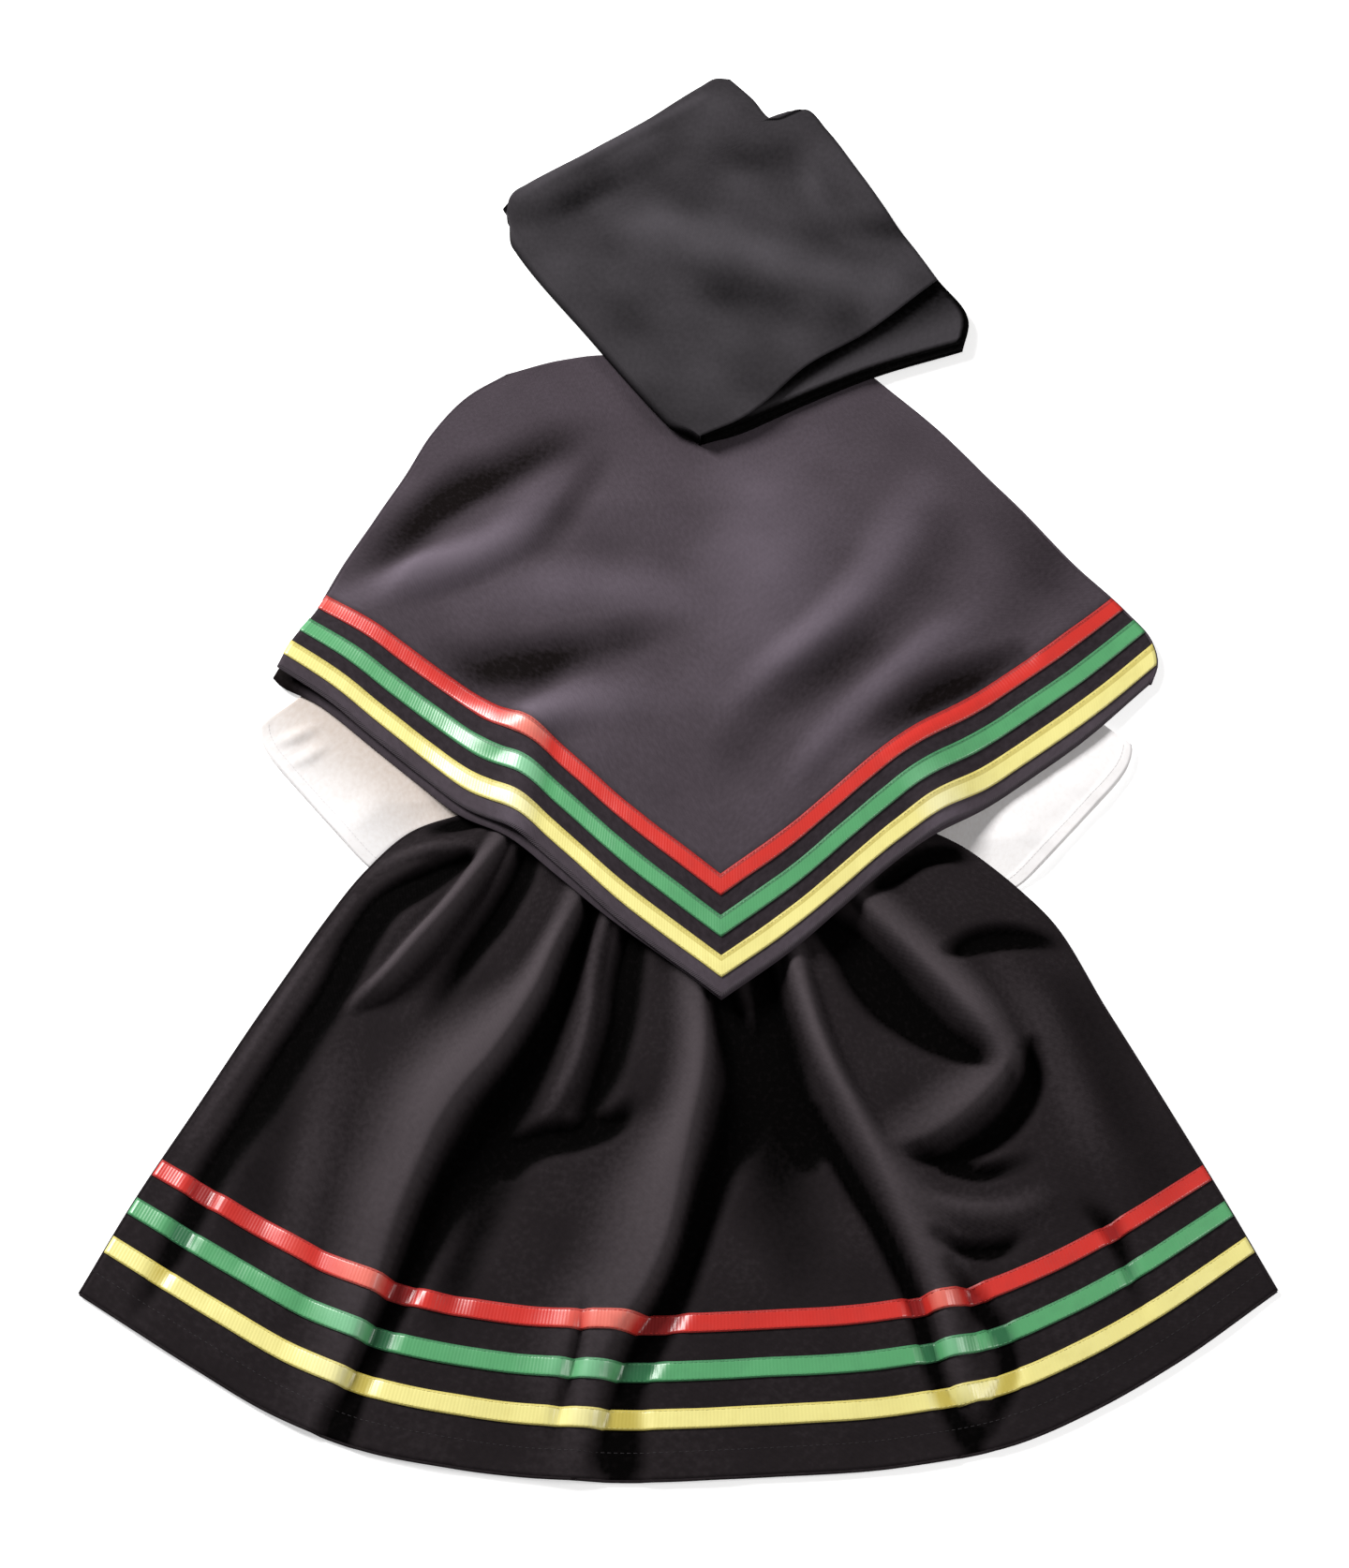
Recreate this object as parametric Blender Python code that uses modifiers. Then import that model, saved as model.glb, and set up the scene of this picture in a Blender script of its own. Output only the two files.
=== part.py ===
"""A child's folk dance costume, laid flat: a white blouse, a gathered skirt and a poncho with three
ribbons each, and a folded head cloth.

The tables are in millimetres and MM turns them into metres. The floor is z = 0, +X is the right of
the layout seen from above, and +Y runs from the skirt's hem to the head cloth. Left and right are
the layout's own, seen from above.
"""

from collections import namedtuple

import bmesh
import bpy
import numpy as np

MM = 0.001

# Walls and clearances
CLOTH = 1.2
LINEN = 1.0
RIBBON_THICK = 1.0
GAP = 0.3
LOOSE = 0.8

# Blouse
BODY_MIDDLE = 14.0
BODY_HALF = 160.0
BODY_HEM = -290.0
SHOULDER_OUT = 107.0
SHOULDER_IN = 140.0
NECK_HALF = 55.0
NECK_SCOOP = 30.0
BODY_COLUMNS = 12
BODY_ROWS = 4
SLEEVE_HIGH = 2.6
BLOUSE_HIGH = 3.2
SLEEVE_AROUND = 28
SLEEVE_FLAT_POINTS = 11
SLEEVE_SPREAD = 0.8
CUFF_CORNER = 15.0
CUFF_CORNER_POWER = 8
ARMHOLE_GAP = 1.0

# Skirt
SKIRT_LONG = 472.0
SKIRT_RIBBONS = {"yellow": 37.0, "green": 66.5, "red": 96.5}
SKIRT_LOFT = (1.2, 4.0)
SKIRT_FLAT_EDGE = 0.12
SIDE_BEND_HOLD = 3.0
LEAST_ROOM = 0.6
ROOM_PER_DISTANCE = 0.5
BAND_TALL = 28.0
BAND_HIGH = 8.0
BAND_AROUND = 32
BAND_SQUARE = 0.6
BAND_FROM_EDGE = 1.5

# Poncho
PONCHO_RIBBONS = {"yellow": 17.5, "green": 40.5, "red": 64.0}
PONCHO_LIFT = 15.3
PONCHO_MIDDLE = 20.0
PONCHO_LOFT = (1.2, 4.5)
PONCHO_FLAT_EDGE = 0.22
HEM_LOFT_SHARE = 0.35
TOP_FOLD_SHARE = 0.25
HEM_ZONE = 0.2
MOUTH_OPEN = 3.5
MOUTH_ZONE = 0.25
BACK_DROP = 5.0
BACK_DROP_WAY = (-0.615, -0.788)
CORNER_ROUND = 25.0
CORNER_SLANT = 0.4
RIBBON_WIDE = 12.5

# Head cloth
PILE_HIGH = 14.0
PILE_WALL = 1.3
PILE_ON_PONCHO = 4.6
LEAF_COLUMNS = 15
LEAF_ROWS = 9
FOLD_ROWS = 6
FOLD_ZONE = 0.2
INNER_CUTS = 9
INNER_SIDE_CUTS = 3
INNER_FROM_FOLD = 0.035
INNER_INSETS = (0.016, 0.004, 0.014, 0.004, 0.016)

Point = namedtuple("Point", "x y")
Station = namedtuple("Station", "x y left right rise")
Sleeve = namedtuple("Sleeve", "corner_x corner_y along_x along_y wide")
Ramp = namedtuple("Ramp", "start length")

# Where the layers climb: each ramp gives the coordinate at which it starts and its length
SKIRT_ONTO_BLOUSE = Ramp(-351, 60)
SKIRT_WINGS = Ramp(185, 60)
SKIRT_WINGS_END = Ramp(-216, 60)
PONCHO_OFF_BLOUSE = Ramp(150, 40)
PONCHO_ONTO_GATHERS = Ramp(16, 60)
PONCHO_GATHER_SIDES = Ramp(130, 85)
PONCHO_TOP_PRESSED = Ramp(154, 70)
PILE_OFF_PONCHO = Ramp(303, 100)
BACK_DROP_FROM = Ramp(0.0, 0.08)
BACK_DROP_TO = Ramp(0.3, 0.15)

LEFT_SLEEVE = Sleeve(-311, -31, 0.753, 0.658, 158)
RIGHT_SLEEVE = Sleeve(335, -47, -0.737, 0.676, 158)

# Outlines in plan, from the hem corners and cut edges of each piece
SKIRT_HEM = [
    Point(-394, -440), Point(-314, -489), Point(-263, -518), Point(-214, -538), Point(-141, -553),
    Point(-45, -561), Point(51, -558), Point(147, -551), Point(220, -536), Point(269, -515),
    Point(320, -487), Point(393, -438),
]
SKIRT_LEFT = [
    Point(-394, -440), Point(-362, -376), Point(-325, -311), Point(-287, -244), Point(-244, -174),
    Point(-219, -139), Point(-189, -110), Point(-152, -96), Point(-112, -84),
]
SKIRT_RIGHT = [
    Point(393, -438), Point(363, -376), Point(330, -311), Point(295, -244), Point(257, -174),
    Point(240, -156), Point(222, -139), Point(201, -122), Point(176, -108), Point(148, -90),
]
SKIRT_WAIST = [Point(-112, -84), Point(20, -86), Point(148, -90)]

PONCHO_HEM_LEFT = [
    Point(-292, 19), Point(-254, -7), Point(-219, -37), Point(-184, -67), Point(-149, -97),
    Point(-118, -114), Point(-81, -146), Point(-48, -178), Point(29, -241),
]
PONCHO_HEM_RIGHT = [
    Point(29, -241), Point(81, -202), Point(114, -172), Point(148, -141), Point(182, -114),
    Point(217, -92), Point(252, -67), Point(287, -41), Point(343, 9),
]
PONCHO_SIDE_LEFT = [
    Point(-292, 19), Point(-284, 39), Point(-267, 68), Point(-248, 108), Point(-226, 148),
    Point(-205, 189), Point(-187, 225), Point(-161, 258), Point(-132, 278),
]
PONCHO_SIDE_RIGHT = [
    Point(343, 9), Point(349, 26), Point(346, 44), Point(329, 68), Point(293, 108),
    Point(262, 148), Point(230, 189), Point(200, 225), Point(149, 276),
]
PONCHO_TOP_LEFT = [Point(-132, 278), Point(-90, 291), Point(-52, 295), Point(-20, 284), Point(29, 268)]
PONCHO_TOP_RIGHT = [Point(29, 268), Point(76, 279), Point(110, 285), Point(149, 276)]

PILE_FOLD = [Point(-144, 418), Point(-122, 380), Point(-70, 307), Point(-17, 237), Point(8, 207)]
UPPER_TOP = [Point(-144, 418), Point(-139, 437), Point(-121, 449), Point(-38, 504), Point(39, 561)]
UPPER_FREE = [
    Point(39, 561), Point(58, 537), Point(76, 515), Point(104, 524), Point(120, 504), Point(140, 470),
    Point(202, 358),
]
UPPER_LOW = [Point(8, 207), Point(54, 233), Point(97, 275), Point(149, 310), Point(202, 358)]
LOWER_TOP = [Point(-144, 418), Point(-60, 455), Point(20, 490), Point(105, 522)]
LOWER_FREE = [Point(105, 522), Point(138, 471), Point(205, 364), Point(226, 326), Point(220, 298)]
LOWER_LOW = [Point(8, 207), Point(47, 223), Point(97, 249), Point(148, 273), Point(220, 298)]

# Folds: a station gives the place of the crest, the reach of each flank and the rise there
SKIRT_FOLDS = [
    [Station(-98, -92, 9, 8, 6), Station(-121, -114, 12, 9, 10), Station(-166, -173, 17, 11, 16),
     Station(-215, -236, 21, 14, 8), Station(-232, -272, 24, 18, 0)],
    [Station(-60, -92, 12, 10, 8), Station(-82, -156, 20, 13, 14), Station(-130, -257, 35, 20, 24),
     Station(-175, -346, 44, 24, 20), Station(-200, -439, 46, 26, 9), Station(-212, -532, 42, 26, 2)],
    [Station(-34, -92, 10, 10, 6), Station(-60, -192, 14, 16, 9), Station(-81, -329, 22, 24, 6),
     Station(-95, -406, 24, 24, 0)],
    [Station(8, -92, 12, 10, 8), Station(3, -237, 18, 14, 15), Station(-16, -316, 26, 16, 22),
     Station(-37, -392, 30, 18, 17), Station(-51, -456, 30, 20, 9), Station(-53, -556, 28, 24, 3)],
    [Station(52, -92, 10, 12, 8), Station(73, -213, 14, 20, 15), Station(104, -296, 18, 28, 20),
     Station(140, -379, 20, 32, 13), Station(168, -444, 22, 30, 5), Station(184, -530, 22, 28, 1)],
    [Station(98, -92, 10, 10, 7), Station(126, -168, 12, 13, 11), Station(172, -200, 15, 18, 15),
     Station(222, -229, 16, 20, 8), Station(250, -256, 16, 20, 0)],
    [Station(176, -268, 16, 18, 0), Station(214, -288, 17, 20, 9), Station(246, -308, 18, 22, 4),
     Station(266, -326, 18, 22, 0)],
    [Station(140, -94, 10, 10, 6), Station(204, -146, 16, 16, 7), Station(264, -211, 26, 24, 8),
     Station(302, -299, 34, 32, 9), Station(337, -400, 34, 34, 2)],
    [Station(-196, -142, 16, 18, 5), Station(-228, -206, 26, 32, 6), Station(-262, -300, 34, 46, 9),
     Station(-280, -430, 34, 46, 3)],
]
PONCHO_FOLDS = [
    [Station(-262, 79, 22, 24, 1), Station(-176, 99, 26, 28, 6), Station(-115, 123, 28, 30, 8),
     Station(-58, 189, 30, 30, 5), Station(-40, 240, 28, 28, 0)],
    [Station(-206, 172, 24, 22, 0), Station(-150, 206, 28, 26, -3), Station(-61, 246, 28, 28, -1)],
    [Station(-118, 50, 26, 26, 0), Station(-50, 34, 30, 28, -4), Station(30, 12, 28, 28, 0)],
    [Station(100, 215, 60, 60, 0), Station(74, 113, 80, 80, 4), Station(60, -26, 60, 60, 0)],
    [Station(174, 140, 22, 24, 0), Station(112, 70, 24, 22, 5), Station(22, -8, 24, 20, 2)],
    [Station(204, 124, 22, 22, 0), Station(136, 56, 22, 24, -4), Station(62, -20, 22, 22, 0)],
    [Station(170, 2, 20, 18, 0), Station(225, -6, 22, 18, -3), Station(280, 4, 20, 18, 0)],
    [Station(-60, -40, 24, 24, 0), Station(-92, -84, 26, 26, 3), Station(-110, -118, 24, 24, 5)],
    [Station(158, -46, 24, 24, 0), Station(183, -92, 26, 24, 4), Station(192, -118, 24, 24, 5)],
]

# Distances of the grid's rows from a hem; the ribbons' own edges are rows too
SKIRT_UPPER_ROWS = (128, 160, 194, 228, 262, 296, 328, 360, 390, 418, 446, 472)
PONCHO_UPPER_SHARES = (0.06, 0.13, 0.20, 0.27, 0.34, 0.41, 0.48, 0.55, 0.62, 0.70, 0.78, 0.86, 0.93, 1.0)
SKIRT_COLUMNS = 48
PONCHO_COLUMNS = 32

COLOURS = {
    "white": ((0.90, 0.88, 0.89), 0.80),
    "black": ((0.018, 0.015, 0.017), 0.75),
    "charcoal": ((0.055, 0.046, 0.053), 0.75),
    "soot": ((0.035, 0.031, 0.034), 0.80),
    "red": ((0.62, 0.035, 0.022), 0.32),
    "green": ((0.085, 0.36, 0.13), 0.32),
    "yellow": ((0.82, 0.70, 0.17), 0.32),
}


def smooth(share):
    """From 0 to 1 with a level start and end."""
    share = np.clip(share, 0.0, 1.0)
    return share * share * (3.0 - 2.0 * share)


def climb(value, ramp):
    return smooth((value - ramp.start) / ramp.length)


def between(start, end, share):
    return start + (end - start) * share


def along(table, share):
    """Rows at these shares of the length of a smooth line through the table's points."""
    knots = np.array(table, float)
    steps = np.hypot(*np.diff(knots[:, :2], axis=0).T)
    marks = np.concatenate(([0.0], np.cumsum(steps)))
    slopes = np.gradient(knots, marks, axis=0)
    place = np.clip(share, 0.0, 1.0) * marks[-1]
    i = np.clip(np.searchsorted(marks, place, side="right") - 1, 0, len(steps) - 1)
    a = ((place - marks[i]) / steps[i])[..., None]
    span = steps[i][..., None]
    start, end = knots[i], knots[i + 1]
    curve = start * (2 * a**3 - 3 * a**2 + 1) + end * (3 * a**2 - 2 * a**3)
    return curve + span * (slopes[i] * (a**3 - 2 * a**2 + a) + slopes[i + 1] * (a**3 - a**2))


def length_of(table):
    steps = np.diff(np.array(table, float), axis=0)
    return np.hypot(*steps.T).sum()


def patch(low, top, left, right, u, w, climb_left, climb_right, hold=1.0):
    """Plan points of a panel between four outlines. w is the share of the way up; the two climbs
    are the shares along the side outlines, and hold makes a side's own bend die out sooner."""
    low_line, top_line = along(low, u), along(top, u)
    left_line, right_line = along(left, climb_left), along(right, climb_right)
    u, w = u[..., None], w[..., None]
    low_chord = between(along(low, np.zeros(1)), along(low, np.ones(1)), u)
    top_chord = between(along(top, np.zeros(1)), along(top, np.ones(1)), u)
    left_chord = between(along(low, np.zeros(1)), along(top, np.zeros(1)), w)
    right_chord = between(along(low, np.ones(1)), along(top, np.ones(1)), w)
    bend_left = (left_line - left_chord) * (1 - u) ** hold
    bend_right = (right_line - right_chord) * u**hold
    chords = between(low_chord, top_chord, w)
    bend_low = (low_line - low_chord) * (1 - w)
    bend_top = (top_line - top_chord) * w
    return chords + bend_left + bend_right + bend_low + bend_top


def fold_rise(stations, x, y):
    """What one fold adds to the height at x, y."""
    line = along(stations, np.linspace(0, 1, 4 * len(stations)))
    found = np.zeros_like(x)
    for start, end in zip(line, line[1:]):
        run_x, run_y = end[:2] - start[:2]
        share = ((x - start[0]) * run_x + (y - start[1]) * run_y) / (run_x**2 + run_y**2)
        share = np.clip(share, 0.0, 1.0)
        off_x = x - start[0] - share * run_x
        off_y = y - start[1] - share * run_y
        on_left = run_x * off_y - run_y * off_x > 0
        left = between(start[2], end[2], share)
        right = between(start[3], end[3], share)
        reach = np.where(on_left, left, right)
        flank = np.cos(np.pi / 2 * np.clip(np.hypot(off_x, off_y) / reach, 0, 1)) ** 2
        rise = between(start[4], end[4], share) * flank
        found = np.where(np.abs(rise) > np.abs(found), rise, found)
    return found


def folds_together(folds, x, y):
    """Crests meet softly, and hollows are taken away from them."""
    rises = np.array([fold_rise(stations, x, y) for stations in folds])
    crests = np.sqrt((np.maximum(rises, 0.0) ** 2).sum(axis=0))
    return crests + np.minimum(rises, 0.0).sum(axis=0)


# Undersides of the layers, from the floor up

def skirt_rest(x, y):
    """Underside of the skirt's back: on the floor, and up over the blouse."""
    wing = climb(np.abs(x - BODY_MIDDLE), SKIRT_WINGS) * (1 - climb(y, SKIRT_WINGS_END))
    return (BLOUSE_HIGH + GAP) * climb(y, SKIRT_ONTO_BLOUSE) * (1 - wing)


def poncho_rest(x, y):
    """Underside of the poncho's back: on the floor, over the blouse, and up over the skirt's gathers."""
    on_blouse = (BLOUSE_HIGH + GAP) * (1 - climb(y, PONCHO_OFF_BLOUSE))
    sides = climb(np.abs(x - PONCHO_MIDDLE), PONCHO_GATHER_SIDES)
    over_gathers = climb(-y, PONCHO_ONTO_GATHERS) * (1 - sides)
    return on_blouse + PONCHO_LIFT * over_gathers


def below_poncho_hem(x, y):
    """How far a point lies outside the poncho's pointed hem, in plan, and 0 inside it."""
    tip = PONCHO_HEM_LEFT[-1]
    outside = np.zeros_like(x)
    for corner, side in ((PONCHO_HEM_LEFT[0], -1), (PONCHO_HEM_RIGHT[-1], 1)):
        run_x, run_y = corner.x - tip.x, corner.y - tip.y
        away = side * ((x - tip.x) * run_y - (y - tip.y) * run_x) / np.hypot(run_x, run_y)
        outside = np.maximum(outside, away)
    return outside


def skirt_front_under(x, y, u, distance):
    """Underside of the skirt's front: folds that the poncho's weight presses down."""
    base = skirt_rest(x, y) + CLOTH + GAP
    inward = np.minimum(u, 1 - u) * 2
    edge = smooth(inward / SKIRT_FLAT_EDGE)
    loft = between(*SKIRT_LOFT, smooth(distance / SKIRT_LONG))
    wanted = edge * (loft + folds_together(SKIRT_FOLDS, x, y))
    room = poncho_rest(x, y) - LOOSE - CLOTH - base + ROOM_PER_DISTANCE * below_poncho_hem(x, y)
    room = np.maximum(room, LEAST_ROOM)
    return base + room * np.tanh(wanted / room)


def poncho_front_under(x, y, u, share):
    """Underside of the poncho's front: lofty in the middle, down on the back at its sides."""
    base = poncho_rest(x, y) + CLOTH + GAP
    inward = np.minimum(u, 1 - u) * 2
    edge = smooth(inward / PONCHO_FLAT_EDGE)
    hem = between(HEM_LOFT_SHARE, 1.0, smooth(share / HEM_ZONE))
    top = 1 - climb(y, PONCHO_TOP_PRESSED)
    loft = hem * between(*PONCHO_LOFT, top)
    near_corner = (1 - smooth(share / MOUTH_ZONE)) * (1 - smooth(inward / MOUTH_ZONE))
    mouth = MOUTH_OPEN * near_corner * (u < 0.5)
    folds = folds_together(PONCHO_FOLDS, x, y) * between(TOP_FOLD_SHARE, 1.0, top)
    return base + np.maximum(edge * (loft + folds), 0.0) + mouth


def pile_rest(y):
    """Underside of the folded head cloth: on the floor, and up over the poncho's top edge."""
    return PILE_ON_PONCHO * (1 - climb(y, PILE_OFF_PONCHO))


# Making and placing

def start_scene():
    for item in list(bpy.data.objects):
        bpy.data.objects.remove(item)
    collection = bpy.data.collections.new("folk_dance_costume")
    bpy.context.scene.collection.children.link(collection)
    return collection


def material_of(name):
    colour, roughness = COLOURS[name]
    material = bpy.data.materials.get(name) or bpy.data.materials.new(name)
    material.use_nodes = True
    material.diffuse_color = (*colour, 1.0)
    shader = material.node_tree.nodes["Principled BSDF"]
    shader.inputs["Base Color"].default_value = (*colour, 1.0)
    shader.inputs["Roughness"].default_value = roughness
    shader.inputs["Metallic"].default_value = 0.0
    return material


def adopt(name, colour, collection):
    """Names the new primitive, gives it its material and moves it to the costume's collection."""
    piece = bpy.context.object
    piece.name = name
    piece.data.name = name
    piece.data.materials.append(material_of(colour))
    for other in piece.users_collection:
        other.objects.unlink(piece)
    collection.objects.link(piece)
    return piece


def set_points(piece, points):
    piece.data.vertices.foreach_set("co", (np.array(points) * MM).ravel())
    piece.data.update()


def points_of(piece):
    flat = np.empty(len(piece.data.vertices) * 3)
    piece.data.vertices.foreach_get("co", flat)
    return flat.reshape(-1, 3)


def solidify(piece, thick, outwards):
    """Gives the sheet its wall, outwards (1) or inwards (-1) from its own points."""
    wall = piece.modifiers.new("wall", "SOLIDIFY")
    wall.thickness = thick * MM
    wall.offset = outwards
    piece.data.shade_smooth()
    return piece


def faces_out(piece):
    """Turns the faces so that the topmost looks up and its neighbours agree."""
    shape = bmesh.new()
    shape.from_mesh(piece.data)
    bmesh.ops.recalc_face_normals(shape, faces=shape.faces)
    top = max(shape.faces, key=lambda face: face.calc_center_median().z)
    if top.normal.z < 0:
        bmesh.ops.reverse_faces(shape, faces=shape.faces)
    shape.to_mesh(piece.data)
    shape.free()


def sheet(name, colour, collection, columns, rows, place, thick, outwards=1):
    """A cloth panel: a grid whose points are set by place(u, row), then a wall."""
    bpy.ops.mesh.primitive_grid_add(x_subdivisions=columns, y_subdivisions=rows, size=1)
    piece = adopt(name, colour, collection)
    flat = points_of(piece)
    u = np.round((flat[:, 0] + 0.5) * columns) / columns
    row = np.round((flat[:, 1] + 0.5) * rows).astype(int)
    set_points(piece, place(u, row))
    return solidify(piece, thick, outwards)


def ribbon(name, colour, collection, panel, columns, first_row):
    """A strip between two rows of a panel, from the panel's outer points moved out."""
    normals = np.empty(len(panel.data.vertices) * 3)
    panel.data.vertices.foreach_get("normal", normals)
    outer = points_of(panel) / MM + normals.reshape(-1, 3) * (CLOTH + GAP)
    across = columns + 1

    def place(u, row):
        index = (row + first_row) * across + np.round(u * columns).astype(int)
        return outer[index]

    return sheet(name, colour, collection, columns, 1, place, RIBBON_THICK)


def rows_with_ribbons(ribbons):
    """Row distances from the hem edge up to the top ribbon's upper edge."""
    rows = [0.0]
    for middle in ribbons.values():
        rows += [middle - RIBBON_WIDE / 2, middle + RIBBON_WIDE / 2]
    return rows


def ribbon_rows(ribbons):
    """The panel row on which each ribbon starts, from the hem up."""
    return {colour: 1 + 2 * i for i, colour in enumerate(ribbons)}


# Blouse

def make_blouse_panel(name, collection, underside):
    def place(u, row):
        x = BODY_MIDDLE + (2 * u - 1) * BODY_HALF
        away = np.abs(x - BODY_MIDDLE)
        slope = between(SHOULDER_IN, SHOULDER_OUT, (away - NECK_HALF) / (BODY_HALF - NECK_HALF))
        scoop = SHOULDER_IN - NECK_SCOOP * np.cos(np.pi / 2 * np.clip(away / NECK_HALF, 0, 1)) ** 2
        top = np.where(away > NECK_HALF, slope, scoop)
        y = between(BODY_HEM, top, row / BODY_ROWS)
        return np.column_stack([x, y, np.full_like(x, underside)])

    return sheet(name, "white", collection, BODY_COLUMNS, BODY_ROWS, place, LINEN)


def make_sleeve(name, collection, sleeve, body_edge):
    """A flattened tube from the cuff's upper corner, with its far end along the armhole."""
    around, half = SLEEVE_AROUND, SLEEVE_AROUND // 2
    bpy.ops.mesh.primitive_cylinder_add(vertices=around, depth=1, end_fill_type="NOTHING")
    piece = adopt(name, "white", collection)
    flat = points_of(piece)
    half_high = SLEEVE_HIGH / 2
    straight = sleeve.wide / 2 - half_high
    down = np.array([sleeve.along_y, -sleeve.along_x]) * np.sign(sleeve.along_x)
    middle = np.array([sleeve.corner_x, sleeve.corner_y]) + down * sleeve.wide / 2
    turn = np.arctan2(flat[:, 1], flat[:, 0]) / (2 * np.pi)
    side_of, step = np.divmod(np.round(turn % 1 * around).astype(int) % around, half)
    on_flat = step < SLEEVE_FLAT_POINTS
    spread = between(-1.0, 1.0, np.where(on_flat, step / (SLEEVE_FLAT_POINTS - 1), 1.0))
    spread = np.sign(spread) * np.abs(spread) ** SLEEVE_SPREAD
    side_steps = half - SLEEVE_FLAT_POINTS + 1
    bend = np.where(on_flat, 0.0, (step - SLEEVE_FLAT_POINTS + 1) / side_steps * np.pi)
    side = np.where(side_of == 0, 1.0, -1.0)
    across = side * (spread * straight + half_high * np.sin(bend))
    z = half_high - side * half_high * np.cos(bend)
    round_off = CUFF_CORNER * np.abs(across / (sleeve.wide / 2)) ** CUFF_CORNER_POWER
    axis = np.array([sleeve.along_x, sleeve.along_y])
    start = middle + across[:, None] * down + round_off[:, None] * axis
    reach = (body_edge - start[:, 0]) / sleeve.along_x
    end = start + reach[:, None] * axis
    plan = np.where((flat[:, 2] > 0)[:, None], end, start)
    set_points(piece, np.column_stack([plan, z]))
    faces_out(piece)
    return solidify(piece, LINEN, -1)


# Skirt

def skirt_plan(u, distance):
    share = distance / SKIRT_LONG
    return patch(SKIRT_HEM, SKIRT_WAIST, SKIRT_LEFT, SKIRT_RIGHT, u, share, share, share, SIDE_BEND_HOLD)


def make_skirt(collection):
    distances = np.array(rows_with_ribbons(SKIRT_RIBBONS) + list(SKIRT_UPPER_ROWS))
    rows = len(distances) - 1

    def place_back(u, row):
        plan = skirt_plan(u, distances[row])
        return np.column_stack([plan, skirt_rest(*plan.T)])

    def place_front(u, row):
        plan = skirt_plan(u, distances[row])
        return np.column_stack([plan, skirt_front_under(*plan.T, u, distances[row])])

    sheet("skirt_back", "black", collection, SKIRT_COLUMNS // 2, rows, place_back, CLOTH)
    front = sheet("skirt_front", "black", collection, SKIRT_COLUMNS, rows, place_front, CLOTH)
    for colour, first_row in ribbon_rows(SKIRT_RIBBONS).items():
        ribbon("skirt_ribbon_" + colour, colour, collection, front, SKIRT_COLUMNS, first_row)
    make_waistband(collection)


def make_waistband(collection):
    """The elastic casing: a flattened ring just past the gathered edge."""
    bpy.ops.mesh.primitive_cylinder_add(vertices=BAND_AROUND, depth=1, end_fill_type="NOTHING")
    piece = adopt("skirt_waistband", "black", collection)
    flat = points_of(piece)
    angle = np.arctan2(flat[:, 1], flat[:, 0])
    left, right = SKIRT_WAIST[0], SKIRT_WAIST[-1]
    half_wide = (right.x - left.x) / 2
    across = half_wide * np.sign(np.cos(angle)) * np.abs(np.cos(angle)) ** BAND_SQUARE
    x = (left.x + right.x) / 2 + across
    y = between(left.y, right.y, (x - left.x) / (2 * half_wide)) + BAND_FROM_EDGE
    y = y + BAND_TALL * (flat[:, 2] > 0)
    lift = np.sign(np.sin(angle)) * np.abs(np.sin(angle)) ** BAND_SQUARE
    z = BLOUSE_HIGH + GAP + BAND_HIGH / 2 * (1 + lift)
    set_points(piece, np.column_stack([x, y, z]))
    faces_out(piece)
    return solidify(piece, CLOTH, -1)


# Poncho

def poncho_climbs(distances):
    """Shares along the left side, the middle line and the right side for each row. Rows near the hem
    keep one distance from both arms of the hem, so they run further up where the arms meet."""
    left_corner, tip, right_corner = PONCHO_HEM_LEFT[0], PONCHO_HEM_LEFT[-1], PONCHO_HEM_RIGHT[-1]
    neck = PONCHO_TOP_LEFT[-1]
    arm_left = np.arctan2(left_corner.y - tip.y, tip.x - left_corner.x)
    arm_right = np.arctan2(right_corner.y - tip.y, right_corner.x - tip.x)
    middle = distances / np.cos((arm_left + arm_right) / 2)
    lengths = length_of(PONCHO_SIDE_LEFT), neck.y - tip.y, length_of(PONCHO_SIDE_RIGHT)
    last = distances[-1]
    shares = []
    right = distances + CORNER_SLANT * np.minimum(distances, CORNER_ROUND)
    for length, distance in zip(lengths, (distances, middle, right)):
        start = distance / length
        rest = between(start[-1], 1.0, np.array(PONCHO_UPPER_SHARES))
        shares.append(np.concatenate([start, rest]))
    return shares


def poncho_plan(u, climbs, row):
    """Plan points of the poncho from its share across and its row, each half by itself."""
    neck, tip = PONCHO_TOP_LEFT[-1], PONCHO_HEM_LEFT[-1]
    middle_line = [tip, Point((tip.x + neck.x) / 2, (tip.y + neck.y) / 2), neck]
    left, middle, right = (shares[row] for shares in climbs)
    on_left = u <= 0.5
    half_left = np.clip(u * 2, 0, 1)
    half_right = np.clip(u * 2 - 1, 0, 1)
    share = (left + middle + right) / 3
    plan_left = patch(PONCHO_HEM_LEFT, PONCHO_TOP_LEFT, PONCHO_SIDE_LEFT, middle_line,
                      half_left, share, left, middle)
    plan_right = patch(PONCHO_HEM_RIGHT, PONCHO_TOP_RIGHT, middle_line, PONCHO_SIDE_RIGHT,
                       half_right, share, middle, right)
    return np.where(on_left[:, None], plan_left, plan_right)


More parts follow.
